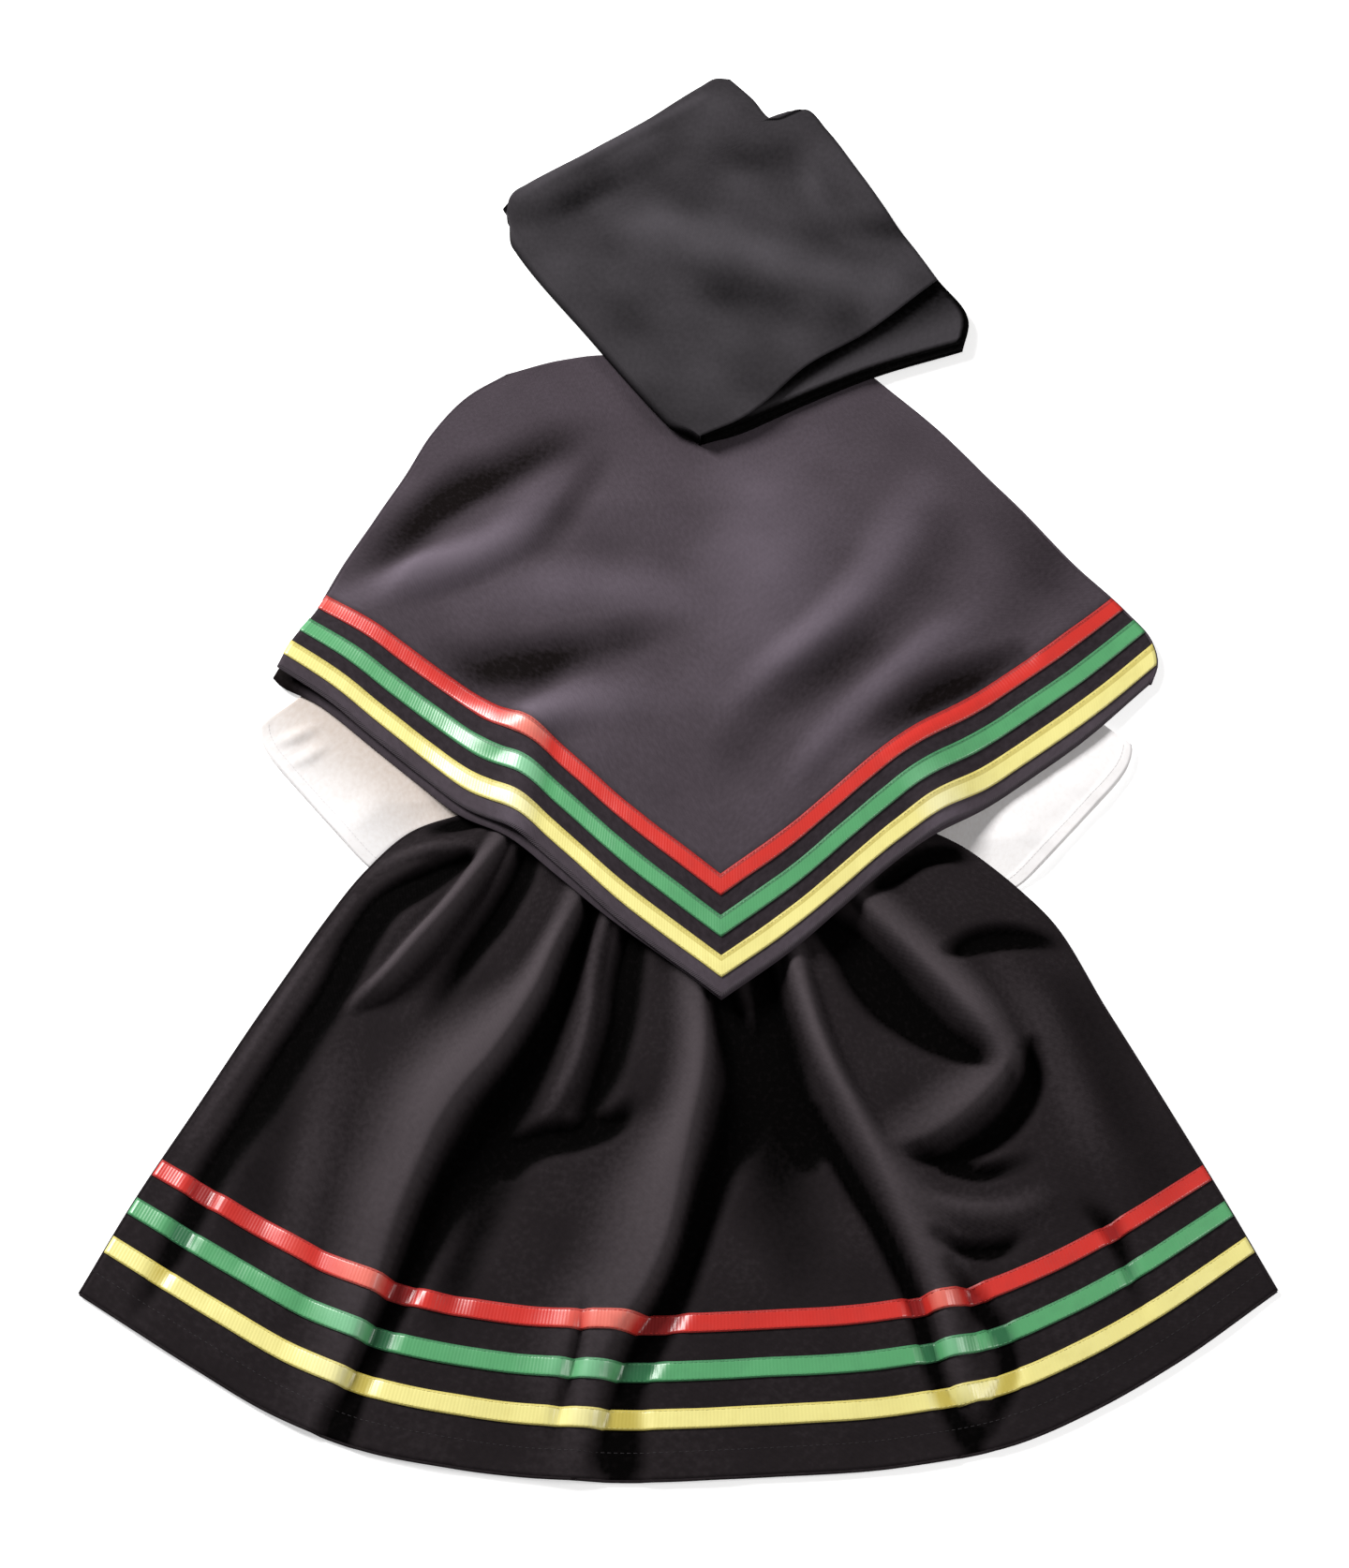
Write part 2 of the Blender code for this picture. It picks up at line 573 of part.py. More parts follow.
def make_poncho(collection):
    distances = np.array(rows_with_ribbons(PONCHO_RIBBONS))
    climbs = poncho_climbs(distances)
    rows = len(climbs[0]) - 1

    def place_back(u, row):
        plan = poncho_plan(u, climbs, row)
        on_left_arm = climb(u, BACK_DROP_FROM) * (1 - climb(u, BACK_DROP_TO)) * (row == 0)
        plan = plan + BACK_DROP * on_left_arm[:, None] * np.array(BACK_DROP_WAY)
        return np.column_stack([plan, poncho_rest(*plan.T)])

    def place_front(u, row):
        plan = poncho_plan(u, climbs, row)
        return np.column_stack([plan, poncho_front_under(*plan.T, u, climbs[1][row])])

    sheet("poncho_back", "charcoal", collection, PONCHO_COLUMNS // 2, rows, place_back, CLOTH)
    front = sheet("poncho_front", "charcoal", collection, PONCHO_COLUMNS, rows, place_front, CLOTH)
    for colour, first_row in ribbon_rows(PONCHO_RIBBONS).items():
        ribbon("poncho_ribbon_" + colour, colour, collection, front, PONCHO_COLUMNS, first_row)


# Head cloth

def pile_leaf(u, w, top, free, low):
    """Plan points of a leaf: u runs along the pile's fold, w from the fold to the free edge."""
    return patch(PILE_FOLD, free, top, low, u, w, w, w)


def make_outer_leaf(collection):
    """One sheet: the bottom leaf, the rounded fold and the top leaf."""
    rows = 2 * LEAF_ROWS + FOLD_ROWS
    radius = PILE_HIGH / 2
    start, end = PILE_FOLD[0], PILE_FOLD[-1]
    run = np.array([end.x - start.x, end.y - start.y], float)
    out = np.array([run[1], -run[0]]) / np.hypot(*run)

    def place(u, row):
        top = row >= LEAF_ROWS + FOLD_ROWS
        share = np.maximum(1 - row / LEAF_ROWS, (row - LEAF_ROWS - FOLD_ROWS) / LEAF_ROWS)
        share = np.maximum(share, 0.0)
        low_plan = pile_leaf(u, share, LOWER_TOP, LOWER_FREE, LOWER_LOW)
        top_plan = pile_leaf(u, share, UPPER_TOP, UPPER_FREE, UPPER_LOW)
        plan = np.where(top[:, None], top_plan, low_plan)
        turn = np.clip((row - LEAF_ROWS) / FOLD_ROWS, 0, 1) * np.pi
        pull = (1 - smooth(share / FOLD_ZONE)) * radius
        plan = plan - out * (pull - radius * np.sin(turn))[:, None]
        z = pile_rest(plan[:, 1]) + radius * (1 - np.cos(turn))
        return np.column_stack([plan, z])

    sheet("head_cloth_outer_leaf", "soot", collection, LEAF_COLUMNS, rows, place, PILE_WALL, -1)


def stands(edge):
    start, end = edge.verts
    return abs(start.co.z - end.co.z) > abs(start.co.x - end.co.x) + abs(start.co.y - end.co.y)


def make_inner_layers(name, collection, level_low, level_high, top, free, low):
    """The layers hidden in the pile as one rounded solid, stepped at its edges like folded cloth."""
    bpy.ops.mesh.primitive_cube_add(size=1)
    piece = adopt(name, "soot", collection)
    shape = bmesh.new()
    shape.from_mesh(piece.data)
    level = [edge for edge in shape.edges if not stands(edge)]
    bmesh.ops.subdivide_edges(shape, edges=level, cuts=INNER_CUTS, use_grid_fill=True)
    upright = [edge for edge in shape.edges if stands(edge)]
    bmesh.ops.subdivide_edges(shape, edges=upright, cuts=INNER_SIDE_CUTS, use_grid_fill=True)
    shape.to_mesh(piece.data)
    shape.free()
    flat = points_of(piece) + 0.5
    inset = np.array(INNER_INSETS)[np.round(flat[:, 2] * (INNER_SIDE_CUTS + 1)).astype(int)]
    u = between(inset, 1 - inset, flat[:, 0])
    w = between(INNER_FROM_FOLD + inset, 1 - inset, flat[:, 1])
    plan = pile_leaf(u, w, top, free, low)
    z = pile_rest(plan[:, 1]) + between(level_low, level_high, flat[:, 2])
    set_points(piece, np.column_stack([plan, z]))
    faces_out(piece)
    piece.data.shade_smooth()
    return piece


def make_head_cloth(collection):
    make_outer_leaf(collection)
    inner_low = PILE_WALL + LOOSE
    inner_high = PILE_HIGH - PILE_WALL - LOOSE
    half = (inner_low + inner_high) / 2
    make_inner_layers("head_cloth_lower_layers", collection, inner_low, half - LOOSE / 2,
                      LOWER_TOP, LOWER_FREE, LOWER_LOW)
    make_inner_layers("head_cloth_upper_layers", collection, half + LOOSE / 2, inner_high,
                      UPPER_TOP, UPPER_FREE, UPPER_LOW)


def main():
    collection = start_scene()
    make_blouse_panel("blouse_back", collection, 0.0)
    make_blouse_panel("blouse_front", collection, LINEN + GAP)
    armhole = BODY_HALF + ARMHOLE_GAP
    make_sleeve("blouse_sleeve_left", collection, LEFT_SLEEVE, BODY_MIDDLE - armhole)
    make_sleeve("blouse_sleeve_right", collection, RIGHT_SLEEVE, BODY_MIDDLE + armhole)
    make_skirt(collection)
    make_poncho(collection)
    make_head_cloth(collection)


main()
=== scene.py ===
# %% [markdown]
# # A folk dance costume, laid flat
#
# Four garments lie on each other on a pale floor: a white blouse at the bottom, a gathered black skirt
# over its hem, a pointed charcoal poncho over both, and a folded head cloth at the top. Everything here
# is cloth, so every piece starts as a flat grid, as cloth does on the cutting table, and is then laid
# down point by point over what lies below it.

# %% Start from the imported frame
import math
from collections import namedtuple

import bpy
import numpy as np
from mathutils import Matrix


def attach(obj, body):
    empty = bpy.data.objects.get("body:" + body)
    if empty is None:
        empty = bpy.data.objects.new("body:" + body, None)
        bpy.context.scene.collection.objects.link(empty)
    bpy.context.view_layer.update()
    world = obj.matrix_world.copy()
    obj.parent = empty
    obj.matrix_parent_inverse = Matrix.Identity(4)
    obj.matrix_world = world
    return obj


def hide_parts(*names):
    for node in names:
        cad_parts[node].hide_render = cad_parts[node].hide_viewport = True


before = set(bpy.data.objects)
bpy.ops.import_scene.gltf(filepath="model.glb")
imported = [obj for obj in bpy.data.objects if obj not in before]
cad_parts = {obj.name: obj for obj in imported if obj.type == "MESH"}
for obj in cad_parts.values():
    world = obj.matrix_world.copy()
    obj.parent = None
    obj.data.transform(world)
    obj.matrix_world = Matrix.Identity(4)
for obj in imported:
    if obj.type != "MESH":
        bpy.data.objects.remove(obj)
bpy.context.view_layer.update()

# %% [markdown]
# ## Camera
#
# The picture was taken from the skirt's side, tilted by about 25 degrees from straight above. A camera
# could be matched by eye, but two garments carry the same ribbon, so one distance makes the ribbon
# equally wide on both: 1.9 m. The lens follows from the size of the costume in the picture.

# %% The camera
MM = 0.001
TILT = math.radians(25)
DISTANCE = 1.9
LENS = 60.8
SENSOR = 36.0
AIM = (-0.003, -0.069, 0.0)

bpy.ops.object.select_all(action="DESELECT")
eye = (AIM[0], AIM[1] - DISTANCE * math.sin(TILT), DISTANCE * math.cos(TILT))
bpy.ops.object.camera_add(location=eye, rotation=(TILT, 0, 0))
camera = bpy.context.object
camera.data.lens = LENS
camera.data.sensor_width = SENSOR
bpy.context.scene.camera = camera
print("camera at", [round(value, 3) for value in eye])

# %% [markdown]
# ## Measures
#
# A dressmaker works in millimetres, so the measures and outlines do too, and one factor turns them into
# metres when a piece is laid. Cloth has a wall of about a millimetre, and two cloths keep a hair's
# breadth between them.

# %% Measures in millimetres
CLOTH = 1.2
LINEN = 1.0
RIBBON_THICK = 0.7
GAP = 0.3
SEWN = 0.12
LOOSE = 0.8

BODY_MIDDLE, BODY_HALF = 14.0, 160.0
BODY_HEM, SHOULDER_OUT, SHOULDER_IN = -290.0, 107.0, 140.0
NECK_HALF, NECK_SCOOP = 55.0, 30.0
SLEEVE_HIGH, BLOUSE_HIGH = 2.6, 3.2

SKIRT_LONG = 472.0
SKIRT_RIBBONS = {"yellow": 37.0, "green": 66.5, "red": 96.5}
PONCHO_TALL = 440.0
PONCHO_BAND = 72.0
PONCHO_RIBBONS = {"yellow": 17.5, "green": 40.5, "red": 64.0}
PONCHO_LIFT = 15.3
RIBBON_WIDE = 12.5
PILE_HIGH, PILE_WALL, PILE_ON_PONCHO = 14.0, 1.3, 4.6

Point = namedtuple("Point", "x y")
Station = namedtuple("Station", "x y left right rise")
Ramp = namedtuple("Ramp", "start length")
Wave = namedtuple("Wave", "turn length rise start")
print("the skirt is", SKIRT_LONG, "mm long and the poncho", PONCHO_TALL, "mm")

# %% [markdown]
# ## Outlines
#
# Each panel is drawn as a pattern piece: its hem, its two sides and its top, as points that a smooth
# line joins. A panel could also be cut from a big sheet with a knife tool, but then the threads would
# not follow its sides, and the ribbons follow the hem.

# %% Outlines of the skirt and the poncho
SKIRT_HEM = [
    Point(-394, -440), Point(-314, -489), Point(-263, -518), Point(-214, -538), Point(-141, -553),
    Point(-45, -561), Point(51, -558), Point(147, -551), Point(220, -536), Point(269, -515),
    Point(320, -487), Point(393, -438),
]
SKIRT_LEFT = [
    Point(-394, -440), Point(-362, -376), Point(-325, -311), Point(-287, -244), Point(-244, -174),
    Point(-219, -139), Point(-189, -110), Point(-152, -96), Point(-112, -84),
]
SKIRT_RIGHT = [
    Point(393, -438), Point(363, -376), Point(330, -311), Point(295, -244), Point(257, -174),
    Point(240, -156), Point(222, -139), Point(201, -122), Point(176, -108), Point(148, -90),
]
SKIRT_WAIST = [Point(-112, -84), Point(20, -86), Point(148, -90)]

PONCHO_HEM_LEFT = [
    Point(-292, 19), Point(-254, -7), Point(-219, -37), Point(-184, -67), Point(-149, -97),
    Point(-118, -114), Point(-81, -146), Point(-48, -178), Point(29, -241),
]
PONCHO_HEM_RIGHT = [
    Point(29, -241), Point(81, -202), Point(114, -172), Point(148, -141), Point(182, -114),
    Point(217, -92), Point(252, -67), Point(287, -41), Point(343, 9),
]
PONCHO_SIDE_LEFT = [
    Point(-292, 19), Point(-284, 39), Point(-267, 68), Point(-248, 108), Point(-226, 148),
    Point(-205, 189), Point(-187, 225), Point(-161, 258), Point(-132, 278),
]
PONCHO_SIDE_RIGHT = [
    Point(343, 9), Point(349, 26), Point(346, 44), Point(329, 68), Point(293, 108),
    Point(262, 148), Point(230, 189), Point(200, 225), Point(149, 276),
]
PONCHO_TOP_LEFT = [Point(-132, 278), Point(-90, 291), Point(-52, 295), Point(-20, 284), Point(29, 268)]
PONCHO_TOP_RIGHT = [Point(29, 268), Point(76, 279), Point(110, 285), Point(149, 276)]
print("outlines of the skirt and the poncho ready")

# %% Outlines of the folded head cloth
PILE_FOLD = [Point(-144, 418), Point(-122, 380), Point(-70, 307), Point(-17, 237), Point(8, 207)]
UPPER_TOP = [
    Point(-144, 418), Point(-141, 431), Point(-134, 441), Point(-121, 450), Point(-38, 505), Point(18, 548),
    Point(31, 557), Point(42, 556),
]
UPPER_FREE = [
    Point(42, 556), Point(60, 536), Point(76, 515), Point(104, 525), Point(120, 504), Point(140, 470),
    Point(202, 358),
]
UPPER_LOW = [Point(8, 207), Point(54, 233), Point(97, 275), Point(149, 310), Point(202, 358)]
LOWER_TOP = [Point(-144, 418), Point(-60, 455), Point(20, 490), Point(105, 522)]
LOWER_FREE = [Point(105, 522), Point(138, 471), Point(205, 364), Point(226, 326), Point(220, 298)]
LOWER_LOW = [Point(8, 207), Point(47, 223), Point(97, 249), Point(148, 273), Point(220, 298)]
print("outlines of the head cloth ready")

# %% [markdown]
# ## Folds
#
# Soft folds could be left to a cloth simulation, but it would put them where it likes. A stylist laid
# this costume by hand, so each fold is drawn one by one: a line of stations along its crest, each with
# the reach of its flank on the walker's left and right and its rise in millimetres. A rise below zero is
# a hollow, sunk into the loose cloth between the crests.

# %% Crests of the skirt
SKIRT_CRESTS = [
    [Station(-112, -88, 9, 10, 9), Station(-124, -112, 9, 10, 15), Station(-143, -147, 9, 10, 20),
     Station(-162, -176, 9, 11, 21), Station(-184, -204, 10, 12, 20), Station(-206, -228, 10, 11, 14),
     Station(-226, -243, 9, 10, 2)],
    [Station(-236, -158, 8, 8, 2), Station(-205, -133, 9, 8, 5), Station(-175, -125, 8, 8, 6),
     Station(-146, -122, 8, 8, 2)],
    [Station(-66, -140, 10, 10, 8), Station(-76, -175, 12, 13, 14), Station(-88, -205, 12, 16, 18),
     Station(-98, -232, 12, 24, 19), Station(-112, -258, 12, 40, 20), Station(-128, -283, 12, 54, 20),
     Station(-146, -305, 12, 60, 20), Station(-161, -328, 12, 60, 19), Station(-173, -353, 13, 58, 17),
     Station(-184, -381, 13, 55, 15), Station(-193, -408, 14, 52, 13), Station(-200, -436, 14, 50, 11),
     Station(-210, -470, 14, 48, 9), Station(-221, -500, 14, 44, 6), Station(-230, -540, 14, 40, 2)],
    [Station(-46, -160, 8, 8, 4), Station(-54, -190, 8, 8, 6), Station(-59, -220, 8, 8, 7),
     Station(-62, -250, 8, 8, 7.5), Station(-68, -278, 9, 9, 7.5), Station(-78, -304, 9, 9, 6),
     Station(-92, -330, 8, 8, 0)],
    [Station(8, -205, 10, 16, 10), Station(13, -240, 11, 22, 15), Station(15, -270, 12, 24, 18),
     Station(13, -300, 12, 28, 19), Station(7, -330, 12, 34, 20), Station(1, -360, 12, 50, 20),
     Station(-5, -390, 12, 62, 18), Station(-12, -415, 13, 66, 16), Station(-24, -440, 14, 66, 14),
     Station(-41, -463, 14, 62, 12), Station(-52, -492, 14, 60, 8), Station(-58, -522, 14, 50, 5),
     Station(-66, -556, 14, 44, 2)],
    [Station(74, -180, 10, 9, 8), Station(80, -212, 12, 9, 14), Station(86, -240, 13, 9, 17),
     Station(93, -266, 13, 9, 18), Station(103, -293, 14, 9, 18), Station(115, -318, 16, 9, 17),
     Station(128, -345, 22, 9, 16), Station(141, -372, 32, 9, 14), Station(153, -400, 40, 10, 13),
     Station(164, -428, 40, 10, 12), Station(172, -452, 22, 10, 11), Station(178, -480, 20, 10, 7),
     Station(184, -510, 20, 10, 4), Station(190, -550, 20, 10, 1)],
    [Station(118, -148, 18, 9, 7), Station(140, -178, 26, 10, 12), Station(160, -202, 30, 10, 15),
     Station(180, -226, 32, 10, 17), Station(199, -249, 30, 10, 17), Station(214, -268, 26, 10, 14),
     Station(222, -284, 20, 10, 8)],
    [Station(226, -278, 9, 20, 8), Station(212, -300, 9, 30, 14), Station(194, -318, 9, 36, 15),
     Station(174, -332, 9, 36, 12), Station(152, -340, 9, 30, 6), Station(135, -345, 8, 20, 0)],
    [Station(150, -372, 12, 16, 4), Station(185, -385, 12, 18, 8), Station(222, -385, 12, 18, 6),
     Station(250, -370, 12, 18, 0)],
    [Station(226, -215, 20, 18, 2), Station(248, -255, 22, 20, 4), Station(268, -310, 24, 22, 4),
     Station(286, -370, 24, 22, 0)],
    [Station(-222, -262, 22, 18, 1), Station(-236, -310, 26, 22, 3), Station(-246, -370, 28, 26, 5),
     Station(-256, -440, 26, 26, 2)],
    [Station(-228, -160, 6, 6, 4), Station(-258, -207, 6, 6, 7), Station(-285, -255, 7, 7, 7),
     Station(-316, -310, 8, 8, 5), Station(-345, -362, 8, 8, 0)],
]
print(len(SKIRT_CRESTS), "crests on the skirt")

# %% Hollows of the skirt
SKIRT_HOLLOWS = [
    [Station(-118, -362, 26, 22, -5), Station(-134, -400, 24, 20, -6), Station(-146, -436, 20, 18, -4),
     Station(-156, -470, 16, 16, 0)],
    [Station(62, -318, 40, 36, -7), Station(66, -365, 44, 40, -5), Station(74, -410, 40, 40, -3),
     Station(80, -450, 36, 36, 0)],
    [Station(-262, -280, 30, 26, -2), Station(-276, -340, 34, 26, -3), Station(-290, -400, 36, 26, -2)],
    [Station(270, -230, 30, 26, -2), Station(292, -300, 34, 30, -3), Station(316, -370, 34, 30, -2)],
    [Station(-172, -108, 10, 10, -5), Station(-150, -104, 10, 10, -12), Station(-130, -100, 8, 8, -9)],
    [Station(-150, -132, 12, 10, -9), Station(-178, -150, 16, 16, -14), Station(-204, -168, 18, 20, -15),
     Station(-222, -195, 20, 20, -14), Station(-238, -228, 22, 18, -13), Station(-262, -270, 24, 18, -10),
     Station(-290, -318, 22, 16, -9), Station(-314, -362, 20, 16, -10), Station(-330, -400, 17, 13, -9),
     Station(-346, -432, 13, 10, -5), Station(-360, -462, 10, 10, 0)],
    [Station(-100, -112, 10, 10, -10), Station(-110, -145, 15, 14, -14), Station(-126, -176, 16, 14, -13),
     Station(-144, -203, 15, 14, -9), Station(-160, -232, 14, 14, -4), Station(-172, -260, 12, 12, 0)],
    [Station(-58, -165, 12, 13, -11), Station(-70, -200, 13, 16, -13), Station(-80, -232, 16, 18, -13),
     Station(-92, -262, 20, 20, -14), Station(-106, -290, 26, 23, -14), Station(-124, -318, 30, 23, -14),
     Station(-140, -345, 33, 23, -14), Station(-155, -372, 30, 20, -14), Station(-168, -400, 26, 18, -13),
     Station(-180, -430, 20, 16, -12), Station(-190, -452, 18, 16, -12), Station(-200, -478, 17, 14, -11),
     Station(-209, -500, 16, 13, -9), Station(-222, -534, 18, 16, -12), Station(-226, -552, 13, 13, -5)],
    [Station(-30, -190, 16, 16, -11), Station(-36, -225, 18, 16, -13), Station(-40, -255, 18, 16, -13),
     Station(-50, -290, 18, 16, -11), Station(-62, -318, 16, 13, -7)],
    [Station(-112, -350, 18, 18, -11), Station(-90, -338, 17, 17, -14), Station(-66, -334, 16, 16, -14),
     Station(-44, -326, 14, 14, -11), Station(-28, -312, 12, 12, 0)],
    [Station(28, -232, 16, 16, -13), Station(36, -262, 22, 18, -14), Station(42, -292, 28, 20, -14),
     Station(36, -325, 28, 20, -14), Station(24, -358, 22, 18, -12), Station(14, -388, 20, 16, -12),
     Station(4, -418, 20, 16, -12), Station(-8, -446, 22, 17, -12), Station(-22, -474, 22, 17, -12),
     Station(-34, -505, 20, 16, -8), Station(-42, -546, 30, 20, -12)],
    [Station(-62, -450, 6, 6, -2), Station(-64, -470, 8, 8, -6), Station(-70, -495, 10, 9, -6),
     Station(-76, -520, 10, 10, -4), Station(-80, -545, 10, 10, 0)],
    [Station(56, -215, 16, 16, -12), Station(62, -245, 20, 18, -14), Station(70, -280, 22, 20, -14),
     Station(80, -315, 20, 22, -12), Station(90, -345, 16, 20, -7)],
    [Station(92, -318, 10, 13, -7), Station(108, -348, 10, 13, -12), Station(122, -374, 10, 13, -14),
     Station(135, -398, 10, 13, -14), Station(147, -424, 10, 13, -12), Station(156, -448, 10, 12, -12),
     Station(162, -478, 12, 10, -11), Station(172, -510, 13, 12, -8), Station(186, -532, 16, 16, -10),
     Station(192, -552, 10, 10, -5)],
    [Station(178, -425, 9, 9, -4), Station(194, -446, 12, 12, -10), Station(212, -472, 12, 12, -10),
     Station(213, -498, 12, 12, -7), Station(198, -528, 12, 12, -5)],
    [Station(268, -380, 10, 10, 0), Station(286, -398, 12, 12, -8), Station(297, -425, 10, 10, -5),
     Station(305, -455, 10, 10, 0)],
    [Station(98, -178, 16, 18, -11), Station(118, -200, 26, 22, -14), Station(136, -226, 32, 26, -16),
     Station(156, -250, 30, 22, -16), Station(180, -268, 22, 18, -14), Station(204, -280, 13, 13, -11),
     Station(214, -286, 10, 10, 0)],
    [Station(186, -205, 10, 10, -5), Station(205, -196, 13, 13, -14), Station(228, -192, 14, 14, -14),
     Station(250, -192, 13, 13, -9), Station(266, -195, 10, 10, 0)],
    [Station(132, -158, 9, 9, -7), Station(150, -144, 10, 13, -14), Station(170, -132, 12, 12, -14),
     Station(190, -128, 12, 12, -11), Station(204, -132, 10, 10, 0)],
    [Station(240, -272, 12, 10, -7), Station(240, -290, 14, 12, -14), Station(230, -312, 16, 13, -16),
     Station(214, -330, 16, 13, -16), Station(196, -343, 13, 13, -14), Station(178, -350, 10, 10, -12),
     Station(160, -348, 10, 10, -5)],
    [Station(180, -356, 9, 9, -11), Station(200, -360, 10, 10, -12), Station(222, -356, 10, 10, -5),
     Station(240, -350, 9, 9, 0)],
    [Station(170, -404, 9, 9, -5), Station(188, -412, 9, 10, -11), Station(208, -412, 9, 10, -11),
     Station(228, -404, 8, 9, 0)],
]
SKIRT_FOLDS = SKIRT_CRESTS + SKIRT_HOLLOWS
print(len(SKIRT_HOLLOWS), "hollows in the skirt")

# %% Folds of the poncho
PONCHO_FOLDS = [
    [Station(-262, 76, 22, 24, 1), Station(-222, 88, 24, 28, 6), Station(-188, 98, 26, 28, 10),
     Station(-158, 108, 28, 28, 10), Station(-132, 124, 28, 28, 7), Station(-112, 146, 28, 28, 4),
     Station(-98, 172, 28, 28, 2), Station(-90, 200, 24, 24, 0)],
    [Station(-150, 72, 30, 30, 1), Station(-100, 84, 34, 34, 4), Station(-52, 84, 36, 36, 4),
     Station(0, 76, 36, 36, 2), Station(40, 66, 34, 34, 0)],
    [Station(-130, -42, 22, 22, 2), Station(-104, -30, 24, 24, 8), Station(-72, -18, 30, 28, 7),
     Station(-36, -14, 34, 30, 3), Station(0, -16, 30, 30, 0)],
    [Station(196, 186, 34, 34, 0), Station(172, 140, 36, 34, 3), Station(146, 98, 36, 30, 5),
     Station(118, 64, 34, 28, 7), Station(92, 38, 30, 24, 7), Station(66, 14, 28, 24, 5),
     Station(44, -8, 24, 22, 2), Station(28, -30, 22, 22, 0)],
    [Station(232, 70, 24, 24, 0), Station(200, 48, 24, 24, 3), Station(170, 22, 22, 22, 5),
     Station(142, -6, 20, 20, 5), Station(116, -34, 20, 20, 4), Station(92, -62, 18, 18, 3),
     Station(72, -92, 18, 18, 0)],
    [Station(80, 215, 60, 60, 1), Station(64, 113, 80, 80, 5), Station(50, -26, 60, 60, 0)],
    [Station(-104, -30, 24, 24, 6), Station(-108, -62, 24, 24, 5), Station(-114, -112, 22, 22, 4)],
    [Station(158, -46, 36, 36, 0), Station(183, -92, 40, 36, 4), Station(192, -118, 36, 36, 5)],
    [Station(-232, 98, 29, 29, -3), Station(-210, 124, 32, 30, -7), Station(-185, 152, 35, 33, -9),
     Station(-158, 174, 35, 33, -9), Station(-130, 192, 33, 31, -8), Station(-104, 208, 31, 29, -6),
     Station(-78, 222, 29, 26, -3), Station(-55, 236, 25, 25, 0)],
    [Station(-170, 28, 25, 25, -3), Station(-145, 16, 36, 40, -8), Station(-118, 18, 38, 42, -9),
     Station(-88, 26, 32, 34, -9), Station(-58, 34, 28, 30, -6), Station(-20, 44, 25, 25, -3),
     Station(5, 48, 21, 21, 0)],
    [Station(216, 176, 31, 31, -1), Station(202, 132, 32, 32, -2), Station(184, 94, 32, 32, -3),
     Station(160, 62, 32, 31, -4), Station(134, 36, 32, 28, -6), Station(108, 12, 32, 27, -7),
     Station(82, -10, 31, 27, -5), Station(58, -34, 28, 27, -3), Station(38, -66, 27, 27, -2),
     Station(26, -98, 27, 27, 0)],
    [Station(248, 30, 18, 18, -4), Station(218, 14, 21, 21, -8), Station(192, -2, 22, 22, -10),
     Station(168, -20, 21, 21, -8), Station(148, -38, 18, 18, -4), Station(134, -52, 15, 15, 0)],
    [Station(-118, 98, 18, 18, 0), Station(-96, 124, 18, 18, -2), Station(-78, 156, 18, 18, -3),
     Station(-62, 192, 18, 18, -2), Station(-52, 222, 16, 16, 0)],
    [Station(244, 168, 44, 40, -2), Station(272, 112, 48, 44, -4), Station(258, 76, 40, 40, -3),
     Station(232, 50, 30, 30, 0)],
]
print(len(PONCHO_FOLDS), "folds on the poncho")

# %% Folds of the head cloth
PILE_FOLDS = [
    [Station(-84, 404, 30, 30, 0), Station(-20, 412, 34, 34, 1.8), Station(40, 392, 36, 34, 2.0),
     Station(100, 372, 32, 32, 2.0), Station(160, 352, 26, 28, 1.2)],
    [Station(-128, 440, 9, 9, 1), Station(-60, 484, 9, 9, 2.2), Station(20, 536, 9, 9, 1)],
    [Station(0, 356, 30, 32, 0), Station(60, 344, 36, 40, -1.2), Station(128, 322, 32, 34, -1)],
    [Station(-124, 420, 18, 20, -1), Station(-92, 432, 26, 22, -2.1), Station(-50, 456, 26, 22, -1.8),
     Station(10, 492, 20, 20, 0)],
    [Station(116, 402, 18, 20, 0), Station(156, 408, 22, 22, -1.4), Station(196, 400, 18, 18, -1.2)],
    [Station(10, 478, 20, 22, 0), Station(60, 476, 22, 22, -1.2), Station(100, 486, 18, 18, 0)],
    [Station(118, 420, 14, 16, 0), Station(108, 450, 16, 16, 1.2), Station(104, 480, 14, 14, 0)],
]
print(len(PILE_FOLDS), "folds on the head cloth")

# %% [markdown]
# ## Drawing lines and panels
#
# `along` walks a smooth line through a table's points, and `patch` fills the space between four such
# lines. A surface patch of curves would do the same, but plain arithmetic keeps the rows of the grid at
# known distances from the hem, which is where the ribbons are sewn.

# %% Smooth lines
def smooth(share):
    share = np.clip(share, 0.0, 1.0)
    return share * share * (3.0 - 2.0 * share)


def climb(value, ramp):
    return smooth((value - ramp.start) / ramp.length)


def between(start, end, share):
    return start + (end - start) * share


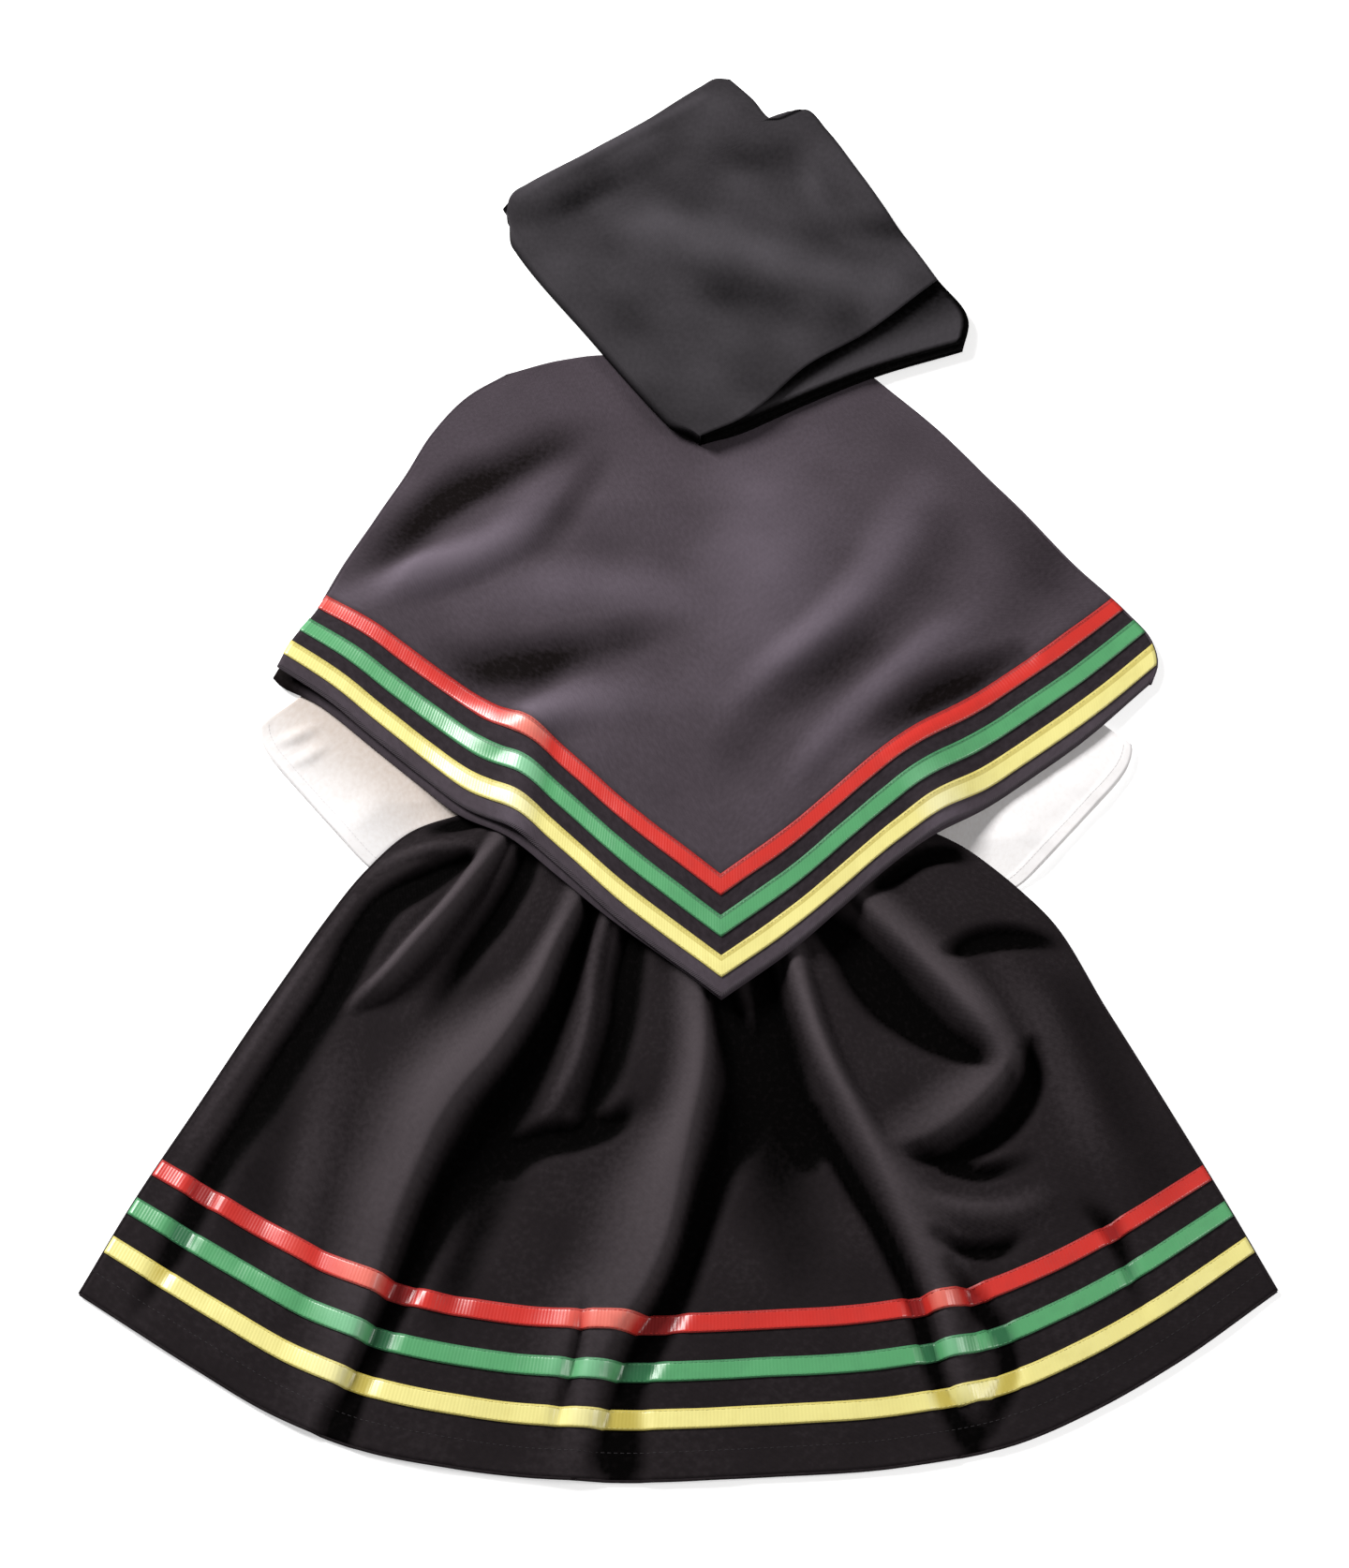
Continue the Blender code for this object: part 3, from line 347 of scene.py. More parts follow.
def along(table, share):
    """Rows at these shares of the length of a smooth line through the table's points."""
    knots = np.array(table, float)
    steps = np.hypot(*np.diff(knots[:, :2], axis=0).T)
    marks = np.concatenate(([0.0], np.cumsum(steps)))
    slopes = np.gradient(knots, marks, axis=0)
    place = np.clip(share, 0.0, 1.0) * marks[-1]
    i = np.clip(np.searchsorted(marks, place, side="right") - 1, 0, len(steps) - 1)
    a = ((place - marks[i]) / steps[i])[..., None]
    span = steps[i][..., None]
    curve = knots[i] * (2 * a**3 - 3 * a**2 + 1) + knots[i + 1] * (3 * a**2 - 2 * a**3)
    return curve + span * (slopes[i] * (a**3 - 2 * a**2 + a) + slopes[i + 1] * (a**3 - a**2))


def length_of(table):
    steps = np.diff(np.array(table, float)[:, :2], axis=0)
    return np.hypot(*steps.T).sum()


print("the skirt's hem runs", round(length_of(SKIRT_HEM)), "mm")

# %% Panels between four lines
def patch(low, top, left, right, u, w, climb_left, climb_right, hold=1.0):
    """Plan points of a panel. u is the share across and w the share of the way up."""
    low_line, top_line = along(low, u), along(top, u)
    left_line, right_line = along(left, climb_left), along(right, climb_right)
    u, w = u[..., None], w[..., None]
    ends = np.array([0.0, 1.0])
    low_start, low_end = along(low, ends)
    top_start, top_end = along(top, ends)
    low_chord = between(low_start, low_end, u)
    top_chord = between(top_start, top_end, u)
    bend_left = (left_line - between(low_start, top_start, w)) * (1 - u) ** hold
    bend_right = (right_line - between(low_end, top_end, w)) * u**hold
    chords = between(low_chord, top_chord, w)
    return chords + bend_left + bend_right + (low_line - low_chord) * (1 - w) + (top_line - top_chord) * w


print("a panel is a patch between its hem, its top and its two sides")

# %% Heights of the folds
STEPS_PER_STATION = 6


def fold_rise(stations, x, y):
    """What one fold adds to the height at x, y."""
    line = along(stations, np.linspace(0, 1, STEPS_PER_STATION * len(stations)))
    found = np.zeros_like(x)
    for start, end in zip(line, line[1:]):
        run_x, run_y = end[:2] - start[:2]
        share = ((x - start[0]) * run_x + (y - start[1]) * run_y) / (run_x**2 + run_y**2)
        share = np.clip(share, 0.0, 1.0)
        off_x = x - start[0] - share * run_x
        off_y = y - start[1] - share * run_y
        on_left = run_x * off_y - run_y * off_x > 0
        reach = np.where(on_left, between(start[2], end[2], share), between(start[3], end[3], share))
        flank = np.cos(np.pi / 2 * np.clip(np.hypot(off_x, off_y) / reach, 0, 1)) ** 2
        rise = between(start[4], end[4], share) * flank
        found = np.where(np.abs(rise) > np.abs(found), rise, found)
    return found


def folds_together(folds, x, y):
    """Crests meet softly, and valleys are taken away from them."""
    rises = np.array([fold_rise(stations, x, y) for stations in folds])
    crests = np.sqrt((np.maximum(rises, 0.0) ** 2).sum(axis=0))
    return crests + np.minimum(rises, 0.0).sum(axis=0)


print("each fold is walked in", STEPS_PER_STATION, "steps for a station")

# %% [markdown]
# Between the big folds no cloth is quite flat. A noise texture could displace it, but a handful of long
# waves that cross at odd angles gives the same slow swell, always the same on each run.

# %% The slow swell of resting cloth
SWELL = [
    Wave(17, 83, 0.30, 0.4), Wave(64, 61, 0.24, 1.9), Wave(112, 97, 0.32, 3.1),
    Wave(151, 47, 0.16, 4.4), Wave(38, 34, 0.10, 5.2), Wave(95, 27, 0.07, 0.9),
]
WARP, WARP_ACROSS, WARP_START, WARP_UP = 9, 71, 0.7, 83


def swell(x, y):
    """The height that the waves add at x, y. A slow warp bends them, so that none runs straight."""
    total = np.zeros_like(x)
    warp = WARP * np.sin(x / WARP_ACROSS + WARP_START) * np.cos(y / WARP_UP)
    for wave in SWELL:
        turn = math.radians(wave.turn)
        run = (x + warp) * math.cos(turn) + (y - warp) * math.sin(turn)
        total = total + wave.rise * np.sin(2 * math.pi * run / wave.length + wave.start)
    return total


print(len(SWELL), "waves in the resting cloth")

# %% [markdown]
# ## What each garment rests on
#
# The order of the layers decides all the heights: floor, blouse, skirt, poncho, head cloth. One function
# for each garment gives the height of its underside at any place, so that no cloth sinks into another.

# %% Undersides of the garments
SKIRT_ONTO_BLOUSE, SKIRT_WINGS, SKIRT_WINGS_END = Ramp(-351, 60), Ramp(185, 60), Ramp(-216, 60)
PONCHO_OFF_BLOUSE, PONCHO_ONTO_GATHERS = Ramp(150, 40), Ramp(-100, 155)
PONCHO_MIDDLE, PONCHO_GATHER_SIDES = 20.0, Ramp(130, 85)
PILE_OFF_PONCHO = Ramp(303, 100)


def skirt_rest(x, y):
    wing = climb(np.abs(x - BODY_MIDDLE), SKIRT_WINGS) * (1 - climb(y, SKIRT_WINGS_END))
    return (BLOUSE_HIGH + GAP) * climb(y, SKIRT_ONTO_BLOUSE) * (1 - wing)


def poncho_rest(x, y):
    on_blouse = (BLOUSE_HIGH + GAP) * (1 - climb(y, PONCHO_OFF_BLOUSE))
    sides = climb(np.abs(x - PONCHO_MIDDLE), PONCHO_GATHER_SIDES)
    return on_blouse + PONCHO_LIFT * climb(-y, PONCHO_ONTO_GATHERS) * (1 - sides)


def pile_rest(y):
    return PILE_ON_PONCHO * (1 - climb(y, PILE_OFF_PONCHO))


def beyond(x, y, start, end):
    """Distance of a point from the line through two others, positive on the right of the way."""
    run_x, run_y = end.x - start.x, end.y - start.y
    return ((x - start.x) * run_y - (y - start.y) * run_x) / math.hypot(run_x, run_y)


def below_poncho_hem(x, y):
    """How far a point lies outside the poncho's pointed hem, and 0 inside it."""
    tip = PONCHO_HEM_LEFT[-1]
    left = beyond(x, y, PONCHO_HEM_LEFT[0], tip)
    right = beyond(x, y, tip, PONCHO_HEM_RIGHT[-1])
    return np.maximum(np.maximum(left, right), 0.0)


print("the poncho lies up to", BLOUSE_HIGH + GAP + PONCHO_LIFT, "mm high on the gathers")

# %% Surface of the skirt's front
SKIRT_LOFT, SKIRT_LOFT_ZONE = (1.5, 7.5), 150.0
SKIRT_FLAT_EDGE, SIDE_BEND_HOLD = 0.12, 3.0
LEAST_ROOM, ROOM_PER_DISTANCE = 0.6, 0.5
GATHERS, GATHER_RISE, GATHER_FADE = 34, 1.1, 90.0
GATHER_UNEVEN, GATHER_UNEVEN_TURNS = 0.012, 19
# Fold heights that give full painted shade, no painted shading and full painted light on the skirt.
SKIRT_TONES = (-6.5, 0.0, 18.0)


def skirt_plan(u, distance):
    share = distance / SKIRT_LONG
    return patch(SKIRT_HEM, SKIRT_WAIST, SKIRT_LEFT, SKIRT_RIGHT, u, share, share, share, SIDE_BEND_HOLD)


def skirt_folds(x, y):
    return folds_together(SKIRT_FOLDS, x, y) + swell(x, y)


def skirt_front(u, distance):
    """Points of the underside of the skirt's front, pressed down where the poncho lies on it."""
    plan = skirt_plan(u, distance)
    x, y = plan.T
    base = skirt_rest(x, y) + CLOTH + GAP
    edge = smooth(np.minimum(u, 1 - u) * 2 / SKIRT_FLAT_EDGE)
    loft = between(*SKIRT_LOFT, smooth(distance / SKIRT_LOFT_ZONE))
    near_waist = smooth(1 - (SKIRT_LONG - distance) / GATHER_FADE)
    place = u + GATHER_UNEVEN * np.sin(GATHER_UNEVEN_TURNS * u)
    pleats = GATHER_RISE * near_waist * np.sin(2 * math.pi * GATHERS * place)
    wanted = edge * (loft + skirt_folds(x, y) + pleats)
    room = poncho_rest(x, y) - LOOSE - CLOTH - base + ROOM_PER_DISTANCE * below_poncho_hem(x, y)
    room = np.maximum(room, LEAST_ROOM)
    return np.column_stack([plan, base + room * np.tanh(np.maximum(wanted, 0.0) / room)])


def skirt_tone(u, distance):
    """Painted shading, from 0 (painted shade) in the deepest hollows to 1 (painted light) on the crests."""
    return np.interp(skirt_folds(*skirt_plan(u, distance).T), SKIRT_TONES, (0, 0.5, 1))


skirt_middle = skirt_front(np.array([0.5]), np.array([SKIRT_LONG / 2]))[0]
print("the middle of the skirt's front lies", round(skirt_middle[2], 1), "mm high")

# %% Surface of the poncho's front
PONCHO_LOFT, PONCHO_FLAT_EDGE = (1.2, 6.5), 0.16
HEM_LOFT_SHARE, TOP_FOLD_SHARE, HEM_ZONE = 0.35, 0.25, 0.2
MOUTH_OPEN, MOUTH_ZONE = 7.5, 0.2
PONCHO_TOP_PRESSED = Ramp(154, 70)
CORNER_ROUND, CORNER_SLANT = 25.0, 0.4
# Fold heights that give full painted shade, none and full painted light on the poncho; the band values paint
# shade on the cloth between the ribbons.
PONCHO_TONES = (-8.5, 0.0, 9.0)
BAND_PAINTED_SHADE, BAND_PAINTED_SHADE_FROM, BAND_PAINTED_SHADE_TO = 0.6, Ramp(13, 6), Ramp(67, 8)


def poncho_shares(distance):
    """Shares along the left side, the middle line and the right side at this distance from the hem."""
    left_corner, tip, right_corner = PONCHO_HEM_LEFT[0], PONCHO_HEM_LEFT[-1], PONCHO_HEM_RIGHT[-1]
    arm_left = math.atan2(left_corner.y - tip.y, tip.x - left_corner.x)
    arm_right = math.atan2(right_corner.y - tip.y, right_corner.x - tip.x)
    near = np.minimum(distance, PONCHO_BAND)
    beyond_band = np.clip((distance - PONCHO_BAND) / (PONCHO_TALL - PONCHO_BAND), 0, 1)
    near_middle = near / math.cos((arm_left + arm_right) / 2)
    near_right = near + CORNER_SLANT * np.minimum(near, CORNER_ROUND)
    starts = near, near_middle, near_right
    lengths = length_of(PONCHO_SIDE_LEFT), PONCHO_TOP_LEFT[-1].y - tip.y, length_of(PONCHO_SIDE_RIGHT)
    return [between(start / length, 1.0, beyond_band) for start, length in zip(starts, lengths)]


def poncho_plan(u, distance):
    """Plan points of the poncho, each half by itself, because they meet at its point."""
    neck, tip = PONCHO_TOP_LEFT[-1], PONCHO_HEM_LEFT[-1]
    middle_line = [tip, Point((tip.x + neck.x) / 2, (tip.y + neck.y) / 2), neck]
    left, middle, right = poncho_shares(distance)
    share = (left + middle + right) / 3
    half_left, half_right = np.clip(u * 2, 0, 1), np.clip(u * 2 - 1, 0, 1)
    plan_left = patch(PONCHO_HEM_LEFT, PONCHO_TOP_LEFT, PONCHO_SIDE_LEFT, middle_line,
                      half_left, share, left, middle)
    plan_right = patch(PONCHO_HEM_RIGHT, PONCHO_TOP_RIGHT, middle_line, PONCHO_SIDE_RIGHT,
                       half_right, share, middle, right)
    return np.where((u <= 0.5)[:, None], plan_left, plan_right)


def poncho_folds(x, y):
    return folds_together(PONCHO_FOLDS, x, y) + swell(x, y)


# Painted shading from the poncho's folds: painted shade in the hollows, painted light on the crests.
def poncho_tone(u, distance):
    return np.interp(poncho_folds(*poncho_plan(u, distance).T), PONCHO_TONES, (0, 0.5, 1))


def poncho_front(u, distance):
    """Points of the underside of the poncho's front."""
    plan = poncho_plan(u, distance)
    x, y = plan.T
    share = poncho_shares(distance)[1]
    inward = np.minimum(u, 1 - u) * 2
    edge = smooth(inward / PONCHO_FLAT_EDGE)
    top = 1 - climb(y, PONCHO_TOP_PRESSED)
    loft = between(HEM_LOFT_SHARE, 1.0, smooth(share / HEM_ZONE)) * between(*PONCHO_LOFT, top)
    near_corner = (1 - smooth(share / MOUTH_ZONE)) * (1 - smooth(inward / MOUTH_ZONE))
    mouth = MOUTH_OPEN * near_corner * (u < 0.5)
    rise = edge * (loft + poncho_folds(x, y) * between(TOP_FOLD_SHARE, 1.0, top))
    z = poncho_rest(x, y) + CLOTH + GAP + np.maximum(rise, 0.0) + mouth
    return np.column_stack([plan, z])


STEP_ACROSS, STEP_UP = 0.001, 0.5


def on_top(surface, u, distance, lift):
    """Points at a height over a surface, along its own normal, found by a small step each way."""
    right = surface(np.clip(u + STEP_ACROSS, 0, 1), distance)
    left = surface(np.clip(u - STEP_ACROSS, 0, 1), distance)
    above = surface(u, distance + STEP_UP)
    below = surface(u, np.maximum(distance - STEP_UP, 0))
    normal = np.cross(right - left, above - below)
    normal /= np.linalg.norm(normal, axis=1)[:, None]
    return surface(u, distance) + np.reshape(lift, (-1, 1)) * normal


print("surfaces of the skirt and the poncho ready")

# %% [markdown]
# ## Finishes
#
# All the garments but the ribbons are woven twill or plain cloth. A picture of cloth could be wrapped
# on, but a weave is a pattern that a few waves describe, so one node group draws it from the piece's own
# UV map, in metres, and each cloth sets its own thread and colours. An attribute of the points, taken
# from the height of the folds, paints light and shade into the colour: painted light makes the crests a
# little paler and painted shade makes the hollows deeper.

# %% Node helpers
def new_group(name, inputs, outputs):
    group = bpy.data.node_groups.new(name, "ShaderNodeTree")
    for label, kind, value in inputs:
        socket = group.interface.new_socket(name=label, in_out="INPUT", socket_type=kind)
        socket.default_value = value
    for label, kind in outputs:
        group.interface.new_socket(name=label, in_out="OUTPUT", socket_type=kind)
    return group, group.nodes.new("NodeGroupInput"), group.nodes.new("NodeGroupOutput")


def math_node(tree, operation, first, second=None):
    node = tree.nodes.new("ShaderNodeMath")
    node.operation = operation
    for socket, value in zip(node.inputs, (first, second)):
        if isinstance(value, (int, float)):
            socket.default_value = value
        elif value is not None:
            tree.links.new(value, socket)
    return node.outputs[0]


def mix_colour(tree, share, first, second):
    node = tree.nodes.new("ShaderNodeMix")
    node.data_type = "RGBA"
    sockets = node.inputs["Factor"], node.inputs["A"], node.inputs["B"]
    for socket, value in zip(sockets, (share, first, second)):
        if hasattr(value, "is_linked"):
            tree.links.new(value, socket)
        else:
            socket.default_value = value
    return node.outputs["Result"]


print("node helpers ready")

# %% The weave, as a group
LINT_SCALE, LINT_DETAIL, LINT_SHARE, LINT_ROUGH = 260.0, 3.0, 0.25, 0.4
PAINTED_SHADING_MIDDLE, PAINTED_SHADING_GAIN = 0.5, 2.0


def make_weave_group():
    """Threads across and along, crossed in a slanting twill step, with specks of lint, and painted light and
    shade from the folds.
    """
    group, given, made = new_group(
        "woven_cloth",
        [("Threads", "NodeSocketFloat", 1400.0), ("Twill", "NodeSocketFloat", 0.5),
         ("Cloth", "NodeSocketColor", (0.1, 0.1, 0.1, 1)), ("Hollow", "NodeSocketColor", (0, 0, 0, 1)),
         ("Crest", "NodeSocketColor", (0.2, 0.2, 0.2, 1)), ("Roughness", "NodeSocketFloat", 0.8)],
        [("Color", "NodeSocketColor"), ("Roughness", "NodeSocketFloat"), ("Height", "NodeSocketFloat")],
    )
    link = group.links.new
    place = group.nodes.new("ShaderNodeUVMap")
    place.uv_map = "cloth"
    split = group.nodes.new("ShaderNodeSeparateXYZ")
    link(place.outputs["UV"], split.inputs[0])
    across = math_node(group, "MULTIPLY", split.outputs["X"], given.outputs["Threads"])
    upward = math_node(group, "MULTIPLY", split.outputs["Y"], given.outputs["Threads"])
    turn = math.pi
    warp = math_node(group, "ABSOLUTE", math_node(group, "SINE", math_node(group, "MULTIPLY", across, turn)))
    weft = math_node(group, "ABSOLUTE", math_node(group, "SINE", math_node(group, "MULTIPLY", upward, turn)))
    slant = math_node(group, "ADD", across, upward)
    twill = math_node(group, "SINE", math_node(group, "MULTIPLY", slant, turn / 2))
    plain = math_node(group, "MULTIPLY", warp, weft)
    step = math_node(group, "MULTIPLY", twill, given.outputs["Twill"])
    height = math_node(group, "ADD", plain, step)
    link(height, made.inputs["Height"])

    # Painted light and shade: the point attribute lightens the colour towards the crest colour and darkens
    # it towards the hollow colour.
    painted_shading = group.nodes.new("ShaderNodeAttribute")
    painted_shading.attribute_name = "painted_shading"
    lint = group.nodes.new("ShaderNodeTexNoise")
    lint.inputs["Scale"].default_value = LINT_SCALE
    lint.inputs["Detail"].default_value = LINT_DETAIL
    link(place.outputs["UV"], lint.inputs["Vector"])
    speck = math_node(group, "MULTIPLY", math_node(group, "SUBTRACT", lint.outputs["Fac"], 0.5), LINT_SHARE)
    level = math_node(group, "ADD", painted_shading.outputs["Fac"], speck)
    under = math_node(group, "SUBTRACT", PAINTED_SHADING_MIDDLE, level)
    deep = math_node(group, "MULTIPLY", under, PAINTED_SHADING_GAIN)
    over = math_node(group, "SUBTRACT", level, PAINTED_SHADING_MIDDLE)
    raised = math_node(group, "MULTIPLY", over, PAINTED_SHADING_GAIN)
    shade = mix_colour(group, deep, given.outputs["Cloth"], given.outputs["Hollow"])
    colour = mix_colour(group, raised, shade, given.outputs["Crest"])
    for node in group.nodes:
        if node.type == "MIX":
            node.clamp_factor = True
    link(colour, made.inputs["Color"])
    uneven = math_node(group, "MULTIPLY", speck, LINT_ROUGH)
    rough = math_node(group, "ADD", given.outputs["Roughness"], uneven)
    link(rough, made.inputs["Roughness"])
    return group


WEAVE = make_weave_group()
print("weave group with", len(WEAVE.nodes), "nodes")

# %% Cloth materials
Cloth = namedtuple("Cloth", "threads twill cloth hollow crest roughness gloss bump")
# The hollow colour of each cloth is painted shade and the crest colour is painted light; the blouse's hollow
# colour is a painted warm shade.
CLOTHS = {
    "blouse_cotton": Cloth(1500, 0.0, (0.78, 0.765, 0.765), (0.50, 0.43, 0.38), (0.86, 0.84, 0.85),
                           0.85, 0.1, 0.25),
    "skirt_twill": Cloth(1300, 0.6, (0.0150, 0.0120, 0.0132), (0.0005, 0.0003, 0.0003),
                         (0.060, 0.050, 0.055), 0.75, 0.025, 0.35),
    "poncho_twill": Cloth(1100, 0.5, (0.056, 0.045, 0.054), (0.0045, 0.003, 0.003),
                          (0.122, 0.100, 0.124), 0.80, 0.04, 0.40),
    "head_cloth_weave": Cloth(1000, 0.2, (0.034, 0.031, 0.0345), (0.0012, 0.001, 0.001),
                              (0.070, 0.064, 0.072), 0.80, 0.03, 0.40),
}
THREAD_HEIGHT = 0.00012


def principled(name, roughness, gloss):
    material = bpy.data.materials.new(name)
    material.use_nodes = True
    shader = material.node_tree.nodes["Principled BSDF"]
    shader.inputs["Roughness"].default_value = roughness
    shader.inputs["Specular IOR Level"].default_value = gloss
    return material, shader


def make_cloth_material(name):
    cloth = CLOTHS[name]
    material, shader = principled(name, cloth.roughness, cloth.gloss)
    tree = material.node_tree
    weave = tree.nodes.new("ShaderNodeGroup")
    weave.node_tree = WEAVE
    weave.inputs["Threads"].default_value = cloth.threads
    weave.inputs["Twill"].default_value = cloth.twill
    weave.inputs["Roughness"].default_value = cloth.roughness
    for label, colour in (("Cloth", cloth.cloth), ("Hollow", cloth.hollow), ("Crest", cloth.crest)):
        weave.inputs[label].default_value = (*colour, 1.0)
    bump = tree.nodes.new("ShaderNodeBump")
    bump.inputs["Strength"].default_value = cloth.bump
    bump.inputs["Distance"].default_value = THREAD_HEIGHT
    tree.links.new(weave.outputs["Height"], bump.inputs["Height"])
    tree.links.new(weave.outputs["Color"], shader.inputs["Base Color"])
    tree.links.new(weave.outputs["Roughness"], shader.inputs["Roughness"])
    tree.links.new(bump.outputs["Normal"], shader.inputs["Normal"])
    return material


MATERIALS = {name: make_cloth_material(name) for name in CLOTHS}
print("cloths:", ", ".join(MATERIALS))

# %% [markdown]
# Satin ribbon shines because its long floats lie side by side across the band, between two corded
# edges. A mirror-like coat would look like plastic, so the gloss is moderate, the floats are a fine
# ribbing across the width, and the edges are a darker cord.

# %% Satin ribbon and sewing thread
Satin = namedtuple("Satin", "face edge sheen")
# Each ribbon has its face colour, an edge colour that is the darker cord and also the painted shade in the
# folds' hollows, and a painted highlight colour for the crests.
SATINS = {
    "satin_red": Satin((0.58, 0.030, 0.022), (0.20, 0.003, 0.004), (0.88, 0.26, 0.20)),
    "satin_green": Satin((0.090, 0.34, 0.140), (0.008, 0.085, 0.032), (0.34, 0.70, 0.44)),
    "satin_yellow": Satin((0.80, 0.73, 0.27), (0.42, 0.33, 0.04), (0.97, 0.95, 0.66)),
}
SATIN_FLOATS, SATIN_ROUGHNESS, SATIN_GLOSS, SATIN_BUMP = 2600.0, 0.34, 0.6, 0.25
EDGE_SHARE, EDGE_TONE, EDGE_ROUGH, EDGE_HIGH = 0.09, 0.6, 0.2, 2.0
STREAK_SCALE, STREAK_DETAIL, STREAK_TONE, STREAK_ROUGH = 90.0, 2.0, 0.5, 0.15
SATIN_SHADE_BELOW, SATIN_SHADE_GAIN = 0.5, 1.7
SATIN_HIGHLIGHT_ABOVE, SATIN_HIGHLIGHT_GAIN = 0.56, 2.4


def make_satin_group():
    """Fine floats across the ribbon, with a corded edge on each side, and painted highlight and painted
    shade from the folds.
    """
    group, given, made = new_group(
        "satin_ribbon",
        [("Face", "NodeSocketColor", (1, 0, 0, 1)), ("Edge", "NodeSocketColor", (0.5, 0, 0, 1)),
         ("Sheen", "NodeSocketColor", (1, 0.5, 0.5, 1))],
        [("Color", "NodeSocketColor"), ("Roughness", "NodeSocketFloat"), ("Height", "NodeSocketFloat")],
    )
    link = group.links.new
    place = group.nodes.new("ShaderNodeUVMap")
    place.uv_map = "cloth"
    split = group.nodes.new("ShaderNodeSeparateXYZ")
    link(place.outputs["UV"], split.inputs[0])
    wide = RIBBON_WIDE * MM
    share = math_node(group, "DIVIDE", split.outputs["Y"], wide)
    off_middle = math_node(group, "ABSOLUTE", math_node(group, "SUBTRACT", share, 0.5))
    edge = math_node(group, "GREATER_THAN", off_middle, 0.5 - EDGE_SHARE)
    ribs = math_node(group, "SINE", math_node(group, "MULTIPLY", split.outputs["X"], SATIN_FLOATS))
    streak = group.nodes.new("ShaderNodeTexNoise")
    streak.inputs["Scale"].default_value = STREAK_SCALE
    streak.inputs["Detail"].default_value = STREAK_DETAIL
    link(place.outputs["UV"], streak.inputs["Vector"])
    uneven = math_node(group, "SUBTRACT", streak.outputs["Fac"], 0.5)
    edge_tone = math_node(group, "MULTIPLY", edge, EDGE_TONE)
    tone = math_node(group, "ADD", edge_tone, math_node(group, "MULTIPLY", uneven, STREAK_TONE))
    # Painted light and shade: on crests the face is lightened towards the painted highlight colour, in
    # hollows it is darkened towards the edge colour as painted shade.
    painted_shading = group.nodes.new("ShaderNodeAttribute")
    painted_shading.attribute_name = "painted_shading"
    under = math_node(group, "SUBTRACT", SATIN_SHADE_BELOW, painted_shading.outputs["Fac"])
    deep = math_node(group, "MULTIPLY", under, SATIN_SHADE_GAIN)
    over = math_node(group, "SUBTRACT", painted_shading.outputs["Fac"], SATIN_HIGHLIGHT_ABOVE)
    raised = math_node(group, "MULTIPLY", over, SATIN_HIGHLIGHT_GAIN)
    highlit_face = mix_colour(group, raised, given.outputs["Face"], given.outputs["Sheen"])
    face = mix_colour(group, deep, highlit_face, given.outputs["Edge"])
    colour = mix_colour(group, tone, face, given.outputs["Edge"])
    for node in group.nodes:
        if node.type == "MIX":
            node.clamp_factor = True
    link(colour, made.inputs["Color"])
    rough = math_node(group, "ADD", SATIN_ROUGHNESS, math_node(group, "MULTIPLY", uneven, STREAK_ROUGH))
    edge_rough = math_node(group, "MULTIPLY", edge, EDGE_ROUGH)
    link(math_node(group, "ADD", rough, edge_rough), made.inputs["Roughness"])
    cord = math_node(group, "MULTIPLY", edge, EDGE_HIGH)
    link(math_node(group, "ADD", ribs, cord), made.inputs["Height"])
    return group


SATIN = make_satin_group()


def make_satin_material(name):
    material, shader = principled(name, SATIN_ROUGHNESS, SATIN_GLOSS)
    tree = material.node_tree
    satin = tree.nodes.new("ShaderNodeGroup")
    satin.node_tree = SATIN
    satin.inputs["Face"].default_value = (*SATINS[name].face, 1)
    satin.inputs["Edge"].default_value = (*SATINS[name].edge, 1)
    satin.inputs["Sheen"].default_value = (*SATINS[name].sheen, 1)
    bump = tree.nodes.new("ShaderNodeBump")
    bump.inputs["Strength"].default_value = SATIN_BUMP
    bump.inputs["Distance"].default_value = THREAD_HEIGHT
    tree.links.new(satin.outputs["Height"], bump.inputs["Height"])
    tree.links.new(satin.outputs["Color"], shader.inputs["Base Color"])
    tree.links.new(satin.outputs["Roughness"], shader.inputs["Roughness"])
    tree.links.new(bump.outputs["Normal"], shader.inputs["Normal"])
    return material


MATERIALS.update({name: make_satin_material(name) for name in SATINS})
print("ribbons:", ", ".join(SATINS))

# %% Sewing thread
THREADS = {
    "thread_white": (0.80, 0.78, 0.79), "thread_black": (0.035, 0.031, 0.034),
    "thread_charcoal": (0.055, 0.046, 0.053), "thread_red": (0.66, 0.04, 0.03),
    "thread_green": (0.11, 0.42, 0.18), "thread_yellow": (0.86, 0.78, 0.28),
}
THREAD_ROUGHNESS, THREAD_GLOSS, THREAD_TWIST, THREAD_SHADE = 0.6, 0.3, 900.0, 0.6


def make_thread_material(name):
    """Twisted thread: a fine wave round the strand, read from its place on the object."""
    material, shader = principled(name, THREAD_ROUGHNESS, THREAD_GLOSS)
    tree = material.node_tree
    place = tree.nodes.new("ShaderNodeTexCoord")
    twist = tree.nodes.new("ShaderNodeTexWave")
    twist.inputs["Scale"].default_value = THREAD_TWIST
    tree.links.new(place.outputs["Object"], twist.inputs["Vector"])
    colour = THREADS[name]
    shade = tuple(value * THREAD_SHADE for value in colour)
    tone = mix_colour(tree, twist.outputs["Fac"], (*shade, 1), (*colour, 1))
    tree.links.new(tone, shader.inputs["Base Color"])
    return material


MATERIALS.update({name: make_thread_material(name) for name in THREADS})
print("threads:", ", ".join(THREADS))

